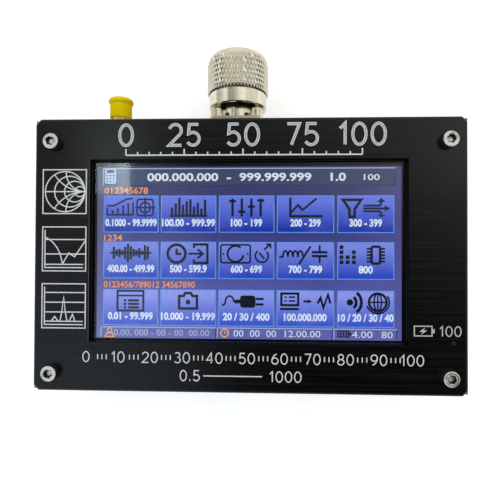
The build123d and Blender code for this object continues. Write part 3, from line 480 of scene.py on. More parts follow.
def hole_shade(g):
    """Painted shade of six small holes round the foot of the barrel, which pin the insulator: dark
    spots on the barrel's surface.
    """
    sideways, upwards, y = from_connector_axis(g)
    angle = g.math("ARCTAN2", sideways, upwards)
    sixth = g.math("FRACT", g.math("DIVIDE", angle, pi / 3))
    along = g.product(g.math("SUBTRACT", sixth, 0.5), BARREL_RADIUS * MM * pi / 3)
    from_centre = g.hypotenuse(along, g.away(y, WALL_Y + HOLE_HEIGHT))
    inside = g.span(from_centre, 0.0006, 0.00068, 1.0, 0.0)
    outside_sleeve = g.math("GREATER_THAN", g.hypotenuse(sideways, upwards), 0.0055)
    return g.product(inside, outside_sleeve)


def engraving(name, dull, bright):
    """Bare aluminium in the laser marks, dulled by their raster lines."""
    g = Graph(name)
    raster = g.noise(1.0, 2, 0.6, g.stretched(900, 5200, 900))
    return g.surface(
        Base_Color=g.ramp(raster, [(0.35, grey(dull)), (0.65, grey(bright))]),
        Roughness=0.75,
        Normal=g.bump(raster, 0.00001, 0.3),
    )


cap_steel = cap_screw_steel()
steel = metal("steel", rgb(226, 224, 218), rgb(188, 187, 182), 0.24, 4000)
TURNED_LINES = (70, 5200, 70)
nickel = metal("nickel", rgb(213, 206, 184), rgb(192, 185, 162), 0.17, lines=TURNED_LINES)
nut_nickel, body_nickel = (
    metal(name, rgb(220, 214, 195), rgb(202, 196, 175), roughness, lines=TURNED_LINES, shaded=shaded)
    for name, roughness, shaded in (
        ("knurled_nickel", 0.13, groove_shade),
        ("n_body_nickel", 0.17, hole_shade),
    )
)
gold = metal("gold", rgb(255, 233, 150), rgb(242, 212, 126), 0.24, 2600)
tinned = metal("display_metal", rgb(196, 198, 200), rgb(160, 163, 166), 0.3, 1800)
dark_epoxy = moulded("chip_plastic", rgb(36, 36, 38), rgb(24, 24, 26), 0.6, 6000)
panel_black = anodised_panel()
white_plastic = moulded("white_insulator", rgb(238, 238, 232), rgb(222, 222, 214), 0.45, 1500)
black_wire = moulded("black_wire", rgb(26, 26, 27), rgb(18, 18, 19), 0.5, 1800)

finishes = {
    "front_panel": panel_black,
    "rear_panel": panel_black,
    "case_frame": milled_frame(),
    "front_panel_screws": cap_steel,
    "rear_panel_screws": metal("black_steel", rgb(46, 46, 48), rgb(28, 28, 30), 0.42, 5000),
    "display_gasket": foam("gasket_foam", grey(26), grey(12)),
    "touch_panel": clear_glass(),
    "lcd_bezel": tinned,
    "lcd_panel": display_cell(),
    "backlight": moulded("white_diffuser", grey(226), grey(210), 0.5, 900),
    "lcd_ribbon": moulded("ribbon_film", rgb(196, 118, 42), rgb(160, 88, 26), 0.3, 1600),
    "ribbon_socket": dark_epoxy,
    "main_board": circuit_board(),
    "board_spacers": metal("brass_spacer", rgb(222, 190, 120), rgb(190, 152, 84), 0.26, 2600),
    "board_screws": steel,
    "processor": dark_epoxy,
    "memory_chip": dark_epoxy,
    "small_chips": dark_epoxy,
    "rf_shield": tinned,
    "battery_pad": foam("pad_foam", grey(66), grey(40)),
    "battery_pack": metal("battery_wrap", rgb(192, 195, 198), rgb(166, 170, 175), 0.45, 700),
    "battery_plug": moulded("plug_plastic", grey(228), grey(208), 0.4, 1400),
    "battery_lead_red": moulded("red_wire", rgb(186, 26, 20), rgb(150, 16, 12), 0.42, 1800),
    "battery_lead_black": black_wire,
    "charge_lamp_chip": moulded("lamp_chip", rgb(210, 60, 60), rgb(170, 30, 36), 0.3, 3000),
    "charge_lamp_rod": lamp_plastic(),
    "charge_usb_socket": tinned,
    "data_usb_socket": tinned,
    "card_socket": tinned,
    "memory_card": moulded("card_plastic", rgb(32, 32, 34), rgb(22, 22, 24), 0.48, 5000),
    "switch_body": moulded("switch_plastic", rgb(26, 26, 27), rgb(17, 17, 18), 0.38, 3000),
    "switch_rocker": moulded("rocker_plastic", rgb(30, 30, 31), rgb(20, 20, 21), 0.26, 3500),
    "switch_terminals": tinned,
    "switch_leads": black_wire,
    "n_body": body_nickel,
    "n_insulator": white_plastic,
    "n_center_pin": gold,
    "n_snap_ring": metal("spring_bronze", rgb(205, 176, 120), rgb(160, 128, 78), 0.35, 2400),
    "n_coupling_nut": nut_nickel,
    "n_seal": moulded("seal_rubber", rgb(178, 84, 60), rgb(150, 62, 44), 0.7, 1200),
    "n_flange_screws": nickel,
    "sma_body": gold,
    "sma_insulator": white_plastic,
    "sma_center_contact": gold,
    "sma_lock_washer": gold,
    "sma_nut": gold,
    "sma_dust_cap": moulded(
        "yellow_cap", rgb(246, 218, 1), rgb(242, 208, 0), 0.5, 1300, 0.00002, gloss=0.04
    ),
    "signal_wires": metal("copper_wire", rgb(214, 148, 110), rgb(186, 116, 80), 0.3, 2400),
}
for node_name, material in finishes.items():
    mesh = cad[node_name].data
    mesh.materials.clear()
    mesh.materials.append(material)


# -------------------------------------------------------------------------- mesh helpers
def piece(name, vertices, faces, material, body="root", smooth_angle=None):
    """A mesh in the row frame from millimetre points, riding on a body."""
    mesh = bpy.data.meshes.new(name)
    mesh.from_pydata([tuple(c * MM for c in v) for v in vertices], [], faces)
    mesh.validate()
    mesh.materials.append(material)
    if smooth_angle is not None:
        mesh.shade_smooth()
        mesh.set_sharp_from_angle(angle=radians(smooth_angle))
    made = bpy.data.objects.new(name, mesh)
    bpy.context.scene.collection.objects.link(made)
    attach(made, body)
    return made


def add_mesh(vertices, faces, more_vertices, more_faces):
    """Adds a mesh to lists that hold others' points and faces."""
    start = len(vertices)
    vertices.extend(more_vertices)
    faces.extend([start + i for i in face] for face in more_faces)


def arc(centre_x, centre_y, radius_x, radius_y, start, end, steps=12):
    """Points along an ellipse between two angles in degrees."""
    points = []
    for i in range(steps + 1):
        a = radians(start + (end - start) * i / steps)
        points.append((centre_x + radius_x * cos(a), centre_y + radius_y * sin(a)))
    return points


def circle(x, y, radius, steps=28):
    return arc(x, y, radius, radius, 0, 360 - 360 / steps, steps - 1)


def box_points(x0, y0, x1, y1):
    return [(x0, y0), (x1, y0), (x1, y1), (x0, y1)]


def rounded_box(x0, y0, x1, y1, r):
    points = []
    corners = box_points(x0 + r, y0 + r, x1 - r, y1 - r)
    for number, start in ((2, 0), (3, 90), (0, 180), (1, 270)):
        points += arc(*corners[number], r, r, start, start + 90, 4)
    return points


class Sheet:
    """Flat marks on a level plane. Each has a hair more height, so no two tops coincide."""

    HAIR = 0.00012
    # The built-in font's size for lettering, and its capitals' height at that size.
    FONT_SIZE = 10.0
    CAPITALS = 7.29

    def __init__(self, level, thickness):
        self.level = level
        self.thickness = thickness
        self.vertices = []
        self.faces = []
        self.count = 0
        self.shift = (0.0, 0.0)

    def top(self):
        self.count += 1
        return self.level + self.thickness + self.HAIR * (self.count % 60)

    def place(self, points, height):
        """Adds a row of points, and gives the number of its first one."""
        start = len(self.vertices)
        dx, dy = self.shift
        self.vertices += [(x + dx, y + dy, height) for x, y in points]
        return start

    def prism(self, outline):
        """A filled outline, given anticlockwise, with its side walls."""
        n = len(outline)
        top = self.place(outline, self.top())
        foot = self.place(outline, self.level)
        self.faces.append([top + i for i in range(n)])
        for i in range(n):
            j = (i + 1) % n
            self.faces.append([top + i, foot + i, foot + j, top + j])

    def line(self, points, width, closed=False):
        """A stroke of even width along points, mitred at its corners."""
        half = width / 2
        kept = [points[0]]
        for point in points[1:]:
            if abs(point[0] - kept[-1][0]) + abs(point[1] - kept[-1][1]) > 1e-6:
                kept.append(point)
        points = kept
        count = len(points)
        edges = [], []
        for i, (x, y) in enumerate(points):
            before = points[i - 1] if closed or i > 0 else None
            after = points[(i + 1) % count] if closed or i < count - 1 else None
            directions = []
            for a, b in ((before, (x, y)), ((x, y), after)):
                if a is not None and b is not None:
                    length = sqrt((b[0] - a[0]) ** 2 + (b[1] - a[1]) ** 2)
                    if length > 1e-9:
                        directions.append(((b[0] - a[0]) / length, (b[1] - a[1]) / length))
            tx = sum(d[0] for d in directions)
            ty = sum(d[1] for d in directions)
            size = sqrt(tx * tx + ty * ty) or 1.0
            nx, ny = -ty / size, tx / size
            lean = max(0.35, abs(ny * directions[0][0] - nx * directions[0][1]))
            edges[0].append((x + nx * half / lean, y + ny * half / lean))
            edges[1].append((x - nx * half / lean, y - ny * half / lean))
        top = self.top()
        left, right = (self.place(edge, top) for edge in edges)
        left_foot, right_foot = (self.place(edge, self.level) for edge in edges)
        end = count - 1
        for i in range(count if closed else end):
            j = (i + 1) % count
            self.faces.append([right + i, right + j, left + j, left + i])
            self.faces.append([left + i, left + j, left_foot + j, left_foot + i])
            self.faces.append([right + j, right + i, right_foot + i, right_foot + j])
        if not closed:
            self.faces.append([left, left_foot, right_foot, right])
            self.faces.append([left + end, right + end, right_foot + end, left_foot + end])

    def loop(self, points, width):
        self.line(points, width, closed=True)

    def lines(self, width, *paths):
        for path in paths:
            self.line(path, width)

    def disc(self, x, y, radius, steps=20):
        self.prism(circle(x, y, radius, steps))

    def words(self, text, x, y, height, width, bold=0.0, align="CENTER"):
        """Letters of the built-in font, fitted to their capitals' height and a width."""
        curve = bpy.data.curves.new("letters", "FONT")
        curve.body = text
        curve.size = self.FONT_SIZE
        curve.offset = bold
        curve.resolution_u = 3
        curve.fill_mode = "FRONT"
        holder = bpy.data.objects.new("letters", curve)
        bpy.context.scene.collection.objects.link(holder)
        bpy.context.view_layer.update()
        mesh = bpy.data.meshes.new_from_object(
            holder.evaluated_get(bpy.context.evaluated_depsgraph_get())
        )
        xs = [v.co.x for v in mesh.vertices]
        tall = height / self.CAPITALS
        wide = width / (max(xs) - min(xs))
        if align == "CENTER":
            left_x = x - (max(xs) + min(xs)) / 2 * wide
        else:
            left_x = x - min(xs) * wide
        points = [(left_x + v.co.x * wide, y + v.co.y * tall) for v in mesh.vertices]
        start = self.place(points, self.top())
        for polygon in mesh.polygons:
            self.faces.append([start + i for i in polygon.vertices])
        bpy.data.objects.remove(holder)
        bpy.data.curves.remove(curve)
        bpy.data.meshes.remove(mesh)

    def done(self, name, material, slot):
        return piece(name, self.vertices, self.faces, material)


# --------------------------------------------------------------- engraving on the plate
# Single-stroke characters in a box 1 high. Each is its width and its strokes.
STROKES = {
    "0": (0.62, [arc(0.31, 0.5, 0.31, 0.5, 0, 360, 24)]),
    "1": (0.34, [[(0.02, 0.76), (0.26, 1.0), (0.26, 0.0)]]),
    "2": (0.6, [arc(0.3, 0.71, 0.29, 0.29, 165, -38, 12) + [(0.0, 0.0), (0.6, 0.0)]]),
    "3": (0.58, [
        arc(0.28, 0.76, 0.24, 0.24, 150, -80, 10) + arc(0.27, 0.27, 0.3, 0.27, 80, -150, 12)
    ]),
    "4": (0.62, [[(0.46, 0.0), (0.46, 1.0), (0.0, 0.3), (0.62, 0.3)]]),
    "5": (0.58, [[(0.53, 1.0), (0.09, 1.0), (0.05, 0.55)] + arc(0.27, 0.31, 0.3, 0.31, 122, -150, 14)]),
    "6": (0.6, [arc(0.3, 0.3, 0.3, 0.3, 0, 360, 22), arc(0.62, 0.28, 0.62, 0.72, 180, 105, 8)]),
    "7": (0.58, [[(0.0, 1.0), (0.58, 1.0), (0.2, 0.0)]]),
    "8": (0.6, [arc(0.3, 0.76, 0.24, 0.24, 0, 360, 18), arc(0.3, 0.26, 0.3, 0.26, 0, 360, 20)]),
    "9": (0.6, [arc(0.3, 0.7, 0.3, 0.3, 0, 360, 22), arc(-0.02, 0.72, 0.62, 0.72, 0, -75, 8)]),
    ".": (0.14, [[(0.07, 0.0), (0.07, 0.14)]]),
}
LETTER_GAP = 0.28


def engrave_text(sheet, text, x, y, height, width, align="CENTER"):
    """Numerals of a height in strokes of a width, round x or starting at it."""
    total = sum(STROKES[c][0] for c in text) + LETTER_GAP * (len(text) - 1)
    start = x - (total * height / 2 if align == "CENTER" else 0.0)
    for c in text:
        advance, strokes = STROKES[c]
        for stroke in strokes:
            sheet.line([(start + px * height, y + py * height) for px, py in stroke], width)
        start += (advance + LETTER_GAP) * height


MARK_THICKNESS = 0.02
engraved = engraving("engraved_marks", 200, 228)
hatched = engraving("hatched_marks", 142, 178)
printed = engraving("printed_marks", 172, 196)

# Scale across the title's place: a ruler with plain numbers.
scale = Sheet(FRONT_Z, MARK_THICKNESS)
hatching = Sheet(FRONT_Z + MARK_THICKNESS + 0.008, 0.004)
SCALE_LEFT, SCALE_RIGHT, SCALE_FOOT = -37.5, 34.6, 30.5
SCALE_TICKS = 20
SCALE_STROKE = 0.42
NUMERAL_FOOT, NUMERAL_HEIGHT, NUMERAL_STROKE = SCALE_FOOT + 3.0, 6.4, 0.9
HATCHED_STROKE = NUMERAL_STROKE - 0.46
scale.line([(SCALE_LEFT, SCALE_FOOT), (SCALE_RIGHT, SCALE_FOOT)], SCALE_STROKE)
for i in range(SCALE_TICKS + 1):
    x = SCALE_LEFT + (SCALE_RIGHT - SCALE_LEFT) * i / SCALE_TICKS
    tick_top = SCALE_FOOT + (1.9 if i % 5 == 0 else 1.0)
    scale.line([(x, SCALE_FOOT), (x, tick_top)], SCALE_STROKE)
    if i % 5 == 0:
        engrave_text(scale, str(5 * i), x, NUMERAL_FOOT, NUMERAL_HEIGHT, NUMERAL_STROKE)
        engrave_text(hatching, str(5 * i), x, NUMERAL_FOOT, NUMERAL_HEIGHT, HATCHED_STROKE)
scale.done("engraved_scale", engraved, "black_panel")
hatching.done("numeral_hatching", hatched, "black_panel")

# Numbered ruler below the window, and a plain range under it.
ruler = Sheet(FRONT_Z, MARK_THICKNESS)
RULER_HALF, RULER_FOOT = 49.4, -32.9
SMALL_NUMERAL, SMALL_STROKE = 3.1, 0.33
TICKS_AFTER_NUMERAL = (3.6, 4.94, 6.28)
for i in range(11):
    x = -RULER_HALF + 2 * RULER_HALF * i / 10
    engrave_text(ruler, str(10 * i), x, RULER_FOOT, SMALL_NUMERAL, SMALL_STROKE)
    if i < 10:
        for after in TICKS_AFTER_NUMERAL:
            tick = [(x + after, RULER_FOOT + 0.8), (x + after, RULER_FOOT + 2.3)]
            ruler.line(tick, SMALL_STROKE)
RANGE_FOOT = -38.3
engrave_text(ruler, "0.5", -20.3, RANGE_FOOT, SMALL_NUMERAL, SMALL_STROKE, "LEFT")
ruler.line([(-13.2, RANGE_FOOT + 1.55), (4.6, RANGE_FOOT + 1.55)], SMALL_STROKE)
engrave_text(ruler, "1000", 6.9, RANGE_FOOT, SMALL_NUMERAL, SMALL_STROKE, "LEFT")
ruler.done("engraved_ruler", engraved, "black_panel")

# Beside the charge lamp: a battery with a flash in it, and its full mark.
label = Sheet(FRONT_Z, MARK_THICKNESS)
LABEL_STROKE = 0.34
label.shift = (52.9, -22.5)
label.loop(box_points(-2.9, -1.45, 2.3, 1.45), LABEL_STROKE)
label.prism(box_points(2.5, -0.6, 3.1, 0.6))
label.prism([(0.35, 1.1), (-1.5, -0.25), (-0.4, -0.25), (-0.95, -1.15), (0.9, 0.25), (-0.2, 0.25)])
label.shift = (0.0, 0.0)
engrave_text(label, "100", 57.5, -24.0, 2.9, LABEL_STROKE, "LEFT")
label.done("engraved_lamp_label", printed, "black_panel")

# Three square pictograms: an impedance chart, a dip and a spectrum.
SQUARE = 13.9
LINE = 0.34
picture = Sheet(FRONT_Z, MARK_THICKNESS)


def framed(centre_x, centre_y):
    """Moves to a pictogram's middle and draws its square frame."""
    half = (SQUARE - LINE) / 2
    picture.shift = (centre_x, centre_y)
    picture.loop(box_points(-half, -half, half, half), LINE)


PICTURE_X = -56.55
CHART_Y = 19.33
framed(PICTURE_X, CHART_Y)
# The chart sits a little right of the middle, against its frame.
picture.shift = (PICTURE_X + 0.15, CHART_Y)
CHART_R = 6.22
picture.loop(circle(0.0, 0.0, CHART_R, 48), LINE)
picture.line([(-CHART_R, 0), (CHART_R, 0)], LINE)
for share in (0.765, 0.515, 0.25):
    r = CHART_R * share
    picture.loop(circle(CHART_R - r, 0.0, r, 40), LINE)
for value in (0.55, 1.05):
    # Arcs from the chart's right end to its rim.
    r = CHART_R / value
    sweep = 2 * degrees(atan(value))
    for side in (1, -1):
        picture.line(arc(CHART_R, side * r, r, r, -90 * side, -(90 + sweep) * side, 20), LINE)

GRID_LEFT, GRID_RIGHT, GRID_FOOT, GRID_TOP = -6.0, 6.6, -5.75, 5.9
BASE_Y = -4.75


def axes_and_grid(centre_y, levels):
    """A framed pair of axes with level lines; the lowest one is the shorter base line."""
    framed(PICTURE_X, centre_y)
    picture.line([(GRID_LEFT, GRID_TOP), (GRID_LEFT, GRID_FOOT), (-GRID_LEFT, GRID_FOOT)], LINE)
    for y in levels:
        picture.line([(GRID_LEFT + 0.05, y), (GRID_RIGHT, y)], LINE)
    picture.line([(GRID_LEFT + 0.05, BASE_Y), (-GRID_LEFT, BASE_Y)], LINE)


axes_and_grid(1.63, (2.9, -1.55))
picture.line(
    [(-5.9, 3.6), (-4.6, 2.9), (-3.4, 1.9), (-2.2, 0.4), (-1.2, -1.6), (-0.45, -4.6)]
    + [(1.5, -1.2), (2.6, -2.0), (3.3, -2.4), (6.6, 2.5)],
    LINE,
)
axes_and_grid(-15.88, (4.1, 1.1, -1.9))
picture.lines(
    LINE,
    [(-1.1, BASE_Y), (-0.55, -1.9), (0.0, 2.9), (0.55, -1.9), (1.1, BASE_Y)],
    [(-3.9, BASE_Y), (-2.7, -3.3), (-1.7, BASE_Y)],
    [(1.75, BASE_Y), (2.8, -2.6), (3.6, BASE_Y)],
)
picture.done("engraved_pictograms", engraved, "black_panel")

# ------------------------------------------------------------------------ screen image
TILE_COLUMNS = ((-45.5, -28.0), (-27.25, -9.8), (-8.97, 8.37), (9.17, 26.87), (27.86, 45.27))
TILE_ROWS = ((6.2, 17.8), (-8.25, 3.3), (-23.0, -11.65))
UI = CELL_Z + 0.01
ICON_RISE = 2.05
CAPTION_DROP = 3.75
BAR = 0.74
THIN = 0.52


def screen_sheet(level, thickness, x=0.0, y=0.0):
    """A sheet over the display, shifted to a place counted from the screen's middle."""
    sheet = Sheet(UI + level, thickness)
    sheet.shift = (SCREEN.x + x, SCREEN.y + y)
    return sheet


def lit(sheet, name, glow_name, colour, variation=None, pattern=True):
    """Finishes a sheet of the screen image in one glowing colour."""
    sheet.done(name, glowing(glow_name, colour, variation, pattern), "display_cell")


tile_glows = (
    (rgb(20, 50, 170), rgb(74, 98, 210), rgb(108, 122, 230)),
    (rgb(42, 72, 198), rgb(94, 114, 216), rgb(128, 140, 234)),
    (rgb(64, 90, 212), rgb(112, 130, 230), rgb(148, 158, 244)),
)
borders = screen_sheet(0.012, 0.004)
for number, ((low_y, high_y), colours) in enumerate(zip(TILE_ROWS, tile_glows), 1):
    tiles = screen_sheet(0.0, 0.008)
    for left, right in TILE_COLUMNS:
        tiles.prism(box_points(left, low_y, right, high_y))
        edge = box_points(left + 0.12, low_y + 0.12, right - 0.12, high_y - 0.12)
        borders.loop(edge, 0.26)
    glow = tile_glow(f"tile_glow_{number}", low_y + SCREEN.y, high_y + SCREEN.y, *colours)
    tiles.done(f"menu_tiles_{number}", glow, "display_cell")
lit(borders, "tile_borders", "border_glow", rgb(86, 150, 246), rgb(108, 168, 255))

icons = screen_sheet(0.024, 0.004)


def rising_chart_and_sight():
    icons.line([(-7.6, 0.1), (-7.6, -2.3), (0.6, -2.3), (0.6, 1.7)], THIN)
    for x, top in ((-5.9, -0.9), (-4.2, -0.3), (-2.5, 0.6), (-0.9, 1.2)):
        icons.line([(x, -2.3), (x, top)], THIN)
        icons.line([(x - 0.45, top - 0.2), (x + 0.45, top - 0.2)], THIN * 0.7)
    icons.line([(-7.7, 0.7), (-6.2, 0.5), (-4.9, 0.8), (-3.3, 1.7), (-1.6, 2.6), (0.5, 2.9)], THIN)
    icons.loop(rounded_box(1.9, -2.55, 7.0, 2.55, 0.7), THIN)
    icons.loop(circle(4.45, 0, 1.6), THIN)
    icons.lines(THIN, [(4.45, -3.1), (4.45, 3.1)], [(1.3, 0), (7.6, 0)])


def spectrum_bars():
    icons.line([(-5.9, -2.6), (5.9, -2.6)], BAR)
    for i, height in enumerate((2.4, 3.7, 5.5, 3.2, 4.4, 5.0, 2.8, 3.9, 2.1, 4.9)):
        x = -5.2 + 1.155 * i
        icons.line([(x, -2.4), (x, -2.4 + height)], BAR)


def sliders():
    for x, bar in ((-4.4, 2.0), (-1.5, -1.3), (1.5, 0.3), (4.4, 2.2)):
        icons.lines(BAR, [(x, -2.8), (x, 2.8)], [(x - 1.1, bar), (x + 1.1, bar)])


def line_chart():
    icons.line([(-4.7, 3.1), (-4.7, -2.7), (5.3, -2.7)], BAR)
    icons.line([(-4.4, -1.5), (-2.3, 0.8), (-1.0, -0.8), (3.4, 2.8)], BAR * 0.85)


def funnel_and_arrows():
    funnel = [(-7.0, 2.4), (-1.4, 2.4), (-3.4, -0.5), (-3.4, -2.85), (-5.0, -2.85), (-5.0, -0.5)]
    icons.loop(funnel, BAR * 1.15)
    icons.lines(
        THIN * 1.2,
        [(-0.7, 0.6), (4.2, 0.6), (4.7, 1.1), (4.7, 1.9)],
        [(-0.7, -0.27), (5.9, -0.27)],
        [(-0.7, -1.15), (4.2, -1.15), (4.7, -1.65), (4.7, -2.4)],
    )
    icons.prism([(3.4, 1.7), (6.1, 1.7), (4.75, 3.0)])
    icons.prism([(5.8, -1.2), (7.5, -0.27), (5.8, 0.7)])
    icons.prism([(4.75, -3.0), (6.1, -2.3), (3.4, -2.3)])


def burst():
    icons.line([(-6.6, 0.2), (6.6, 0.2)], THIN * 1.1)
    for i, half in enumerate((1.9, 1.0, 1.3, 0.8, 1.9, 2.9, 2.1, 1.2, 0.9, 1.5, 0.7, 2.4, 2.0)):
        x = -5.4 + 0.9 * i
        icons.line([(x, 0.2 - half), (x, 0.2 + half)], THIN * 1.4)


def clock_into_box():
    icons.loop(circle(-3.7, 0, 2.8), BAR * 1.2)
    icons.line([(-3.7, 1.6), (-3.7, -0.1), (-2.2, -0.1)], BAR)
    icons.lines(BAR * 0.85, [(0.0, 0), (4.2, 0)], [(2.9, 1.4), (4.6, 0), (2.9, -1.4)])
    icons.line([(1.8, 1.8), (1.8, 2.9), (6.0, 2.9), (6.0, -2.9), (1.8, -2.9), (1.8, -1.8)], BAR)


def reel_and_clock():
    icons.loop(rounded_box(-8.0, -2.8, 1.2, 2.8, 0.6), THIN)
    icons.line(arc(-3.4, 0, 2.5, 2.5, 50, 350, 24), THIN * 1.2)
    icons.disc(-7.2, 0, 0.3)
    icons.disc(0.4, 0, 0.3)
    icons.lines(
        THIN,
        arc(4.8, -0.6, 2.0, 2.0, 130, 400, 20),
        [(3.9, 0.4), (4.8, -0.6), (5.6, -1.5)],
        [(5.5, 1.3), (7.4, 3.0)],
        [(6.1, 3.0), (7.5, 3.0), (7.5, 1.7)],
    )


def coil_and_capacitor():
    points = [(-8.1, -0.9), (-7.0, -0.9)]
    for i in range(4):
        points += arc(-6.2 + 1.55 * i, -0.8, 0.78, 1.8, 175, 5, 6)
    icons.line(points, BAR * 0.75)
    icons.line([(-2.0, -3.2), (1.6, 2.4)], BAR * 0.85)
    icons.lines(BAR, [(2.0, 0.6), (6.8, 0.6)], [(2.0, -0.6), (6.8, -0.6)])
    icons.lines(BAR * 0.8, [(4.4, 0.6), (4.4, 2.8)], [(4.4, -0.6), (4.4, -2.8)])


def meter_blocks_and_chip():
    for x, tall in ((-8.0, 4), (-6.1, 2), (-4.2, 3)):
        for k in range(tall):
            y = -3.05 + 1.56 * k
            icons.prism(box_points(x, y, x + 1.15, y + 1.15))
    icons.loop(rounded_box(1.8, -2.85, 4.4, 2.4, 0.6), BAR * 1.05)
    for side, reach in ((1.7, -1.4), (4.5, 1.4)):
        for k in range(5):
            y = -2.2 + 0.99 * k
            icons.line([(side, y), (side + reach, y)], BAR * 0.8)


def list_window():
    icons.loop(box_points(-4.1, -3.1, 4.1, 3.1), BAR * 0.9)
    icons.line([(-4.2, 1.6), (4.2, 1.6)], BAR * 0.75)
    for y in (0.1, -1.0, -2.1):
        icons.lines(BAR, [(-2.1, y), (-1.3, y)], [(-0.7, y), (2.7, y)])


def camera_outline():
    body = [(-2.8, -2.3), (2.8, -2.3), (2.8, 1.6), (1.4, 1.6), (0.9, 2.5), (-0.9, 2.5)]
    icons.loop(body + [(-1.4, 1.6), (-2.8, 1.6)], BAR * 1.1)
    icons.disc(0, -0.3, 0.75)


def plug_and_lead():
    icons.prism(rounded_box(-1.9, -1.9, 2.9, 1.9, 0.9))
    icons.prism(box_points(3.0, 0.5, 5.4, 1.2))
    icons.prism(box_points(3.0, -1.2, 5.4, -0.5))
    icons.line([(-1.9, 0), (-3.6, 0)], BAR * 1.6)
    lead = arc(-5.2, 0, 1.3, 1.7, 0, 170, 10) + arc(-7.2, 0.3, 0.75, 1.4, 0, -120, 6)
    icons.line([(-3.5, 0)] + lead, THIN)


def monitor_to_wave():
    icons.loop(box_points(-7.4, -1.0, -2.2, 2.6), BAR * 0.95)
    icons.line([(-7.8, -2.2), (-2.0, -2.2)], BAR * 0.95)
    for y in (1.5, 0.3):
        icons.lines(THIN, [(-6.4, y), (-5.7, y)], [(-5.1, y), (-3.1, y)])
    icons.line([(-0.6, 0.2), (1.2, 0.2)], THIN * 1.2)
    head = [(1.3 + 0.85 * cos(radians(a)), 0.2 + 0.85 * sin(radians(a))) for a in (0, 130, 230)]
    icons.prism(head)
    icons.line([(3.8, -0.4), (4.7, 1.3), (5.6, -1.7), (7.0, 2.3), (7.7, -0.4)], BAR * 0.95)


def waves_and_globe():
    icons.disc(-4.8, 0, 1.0)
    icons.line(arc(-5.1, 0, 2.2, 2.2, -50, 50, 8), BAR * 1.25)
    icons.line(arc(-5.1, 0, 3.8, 3.8, -52, 52, 12), BAR * 1.25)
    icons.loop(circle(3.7, 0.1, 2.7, 26), BAR)
    icons.loop(arc(3.7, 0.1, 1.15, 2.7, 0, 345, 20), THIN * 0.9)
    icons.lines(THIN * 0.9, [(3.7, -2.6), (3.7, 2.8)], [(1.0, 0.1), (6.4, 0.1)])
    icons.line(arc(3.7, 0.1, 3.5, 3.4, 200, 395, 16), THIN)
    icons.line([(2.4, -3.3), (5.0, -3.3)], THIN * 1.2)


# Each tile's drawing, and its caption with the caption's width.
MENU = (
    (
        (rising_chart_and_sight, "0.1000 - 99.9999", 16.4),
        (spectrum_bars, "100.00 - 999.99", 16.8),
        (sliders, "100 - 199", 9.8),
        (line_chart, "200 - 299", 9.4),
        (funnel_and_arrows, "300 - 399", 10.0),
    ),
    (
        (burst, "400.00 - 499.99", 15.0),
        (clock_into_box, "500 - 599.9", 11.6),
        (reel_and_clock, "600 - 699", 9.8),
        (coil_and_capacitor, "700 - 799", 10.4),
        (meter_blocks_and_chip, "800", 4.4),
    ),
    (
        (list_window, "0.01 - 99.999", 14.3),
        (camera_outline, "10.000 - 19.999", 17.0),
        (plug_and_lead, "20 / 30 / 400", 14.6),
        (monitor_to_wave, "100.000.000", 13.2),
        (waves_and_globe, "10 / 20 / 30 / 40", 17.0),
    ),
)
CAPTION_HEIGHT = 2.25
captions = Sheet(UI + 0.03, 0.003)
for (low_y, high_y), tiles_row in zip(TILE_ROWS, MENU):
    for (left, right), (draw, caption, width) in zip(TILE_COLUMNS, tiles_row):
        middle = (left + right) / 2 + SCREEN.x
        icons.shift = (middle, (low_y + high_y) / 2 + ICON_RISE + SCREEN.y)
        draw()
        caption_y = (low_y + high_y) / 2 - CAPTION_DROP + SCREEN.y
        captions.words(caption, middle, caption_y, CAPTION_HEIGHT, width, bold=0.4)
lit(icons, "menu_icons", "icon_ink", rgb(4, 8, 18), rgb(14, 18, 34))
lit(captions, "menu_captions", "caption_glow", rgb(236, 242, 255), rgb(206, 220, 252), pattern=False)

headings = screen_sheet(0.03, 0.003)
for text, y, height, width in (
    ("012345678", 18.42, 2.05, 13.9),
    ("1234", 3.62, 1.95, 5.8),
    ("0123456/789012 34567890", -11.08, 1.95, 28.9),
):
    headings.words(text, -45.3, y, height, width, bold=0.14, align="LEFT")
lit(headings, "menu_headings", "heading_glow", rgb(255, 166, 88), rgb(244, 132, 70), pattern=False)

# Title bar, its calculator mark, and the status bar.
TITLE_BAR = (-45.7, 21.0, 45.7, 26.4)
STATUS_CELLS = ((-46.2, -9.7), (-9.4, 26.4), (26.7, 46.1))
STATUS_FOOT, STATUS_TOP, STATUS_TEXT_FOOT = -26.7, -23.5, -26.15
title_bar = screen_sheet(0.0, 0.008)
title_bar.prism(box_points(*TITLE_BAR))
lit(title_bar, "title_bar", "title_bar_glow", rgb(58, 64, 102), rgb(66, 70, 108))
status_bar = screen_sheet(0.0, 0.008)
pale_lines = screen_sheet(0.012, 0.004)
dark_lines = screen_sheet(0.012, 0.004)
left, foot, right, top = TITLE_BAR
pale_lines.line([(left, foot), (left, top - 0.07), (right, top - 0.07)], 0.3)
dark_lines.line([(left + 0.1, foot), (right, foot), (right, top - 0.2)], 0.22)
foot, top = STATUS_FOOT, STATUS_TOP
for left, right in STATUS_CELLS:
    status_bar.prism(box_points(left, foot, right, top))
    pale_lines.line([(left + 0.15, foot), (left + 0.15, top - 0.05), (right, top - 0.05)], 0.3)
    dark_lines.line([(right - 0.1, top - 0.2), (right - 0.1, foot)], 0.25)
lit(status_bar, "status_bar", "status_glow", rgb(92, 98, 172), rgb(108, 112, 186))
lit(pale_lines, "pale_lines", "pale_line_glow", rgb(176, 186, 226))
lit(dark_lines, "dark_lines", "dark_line_glow", rgb(44, 46, 84))

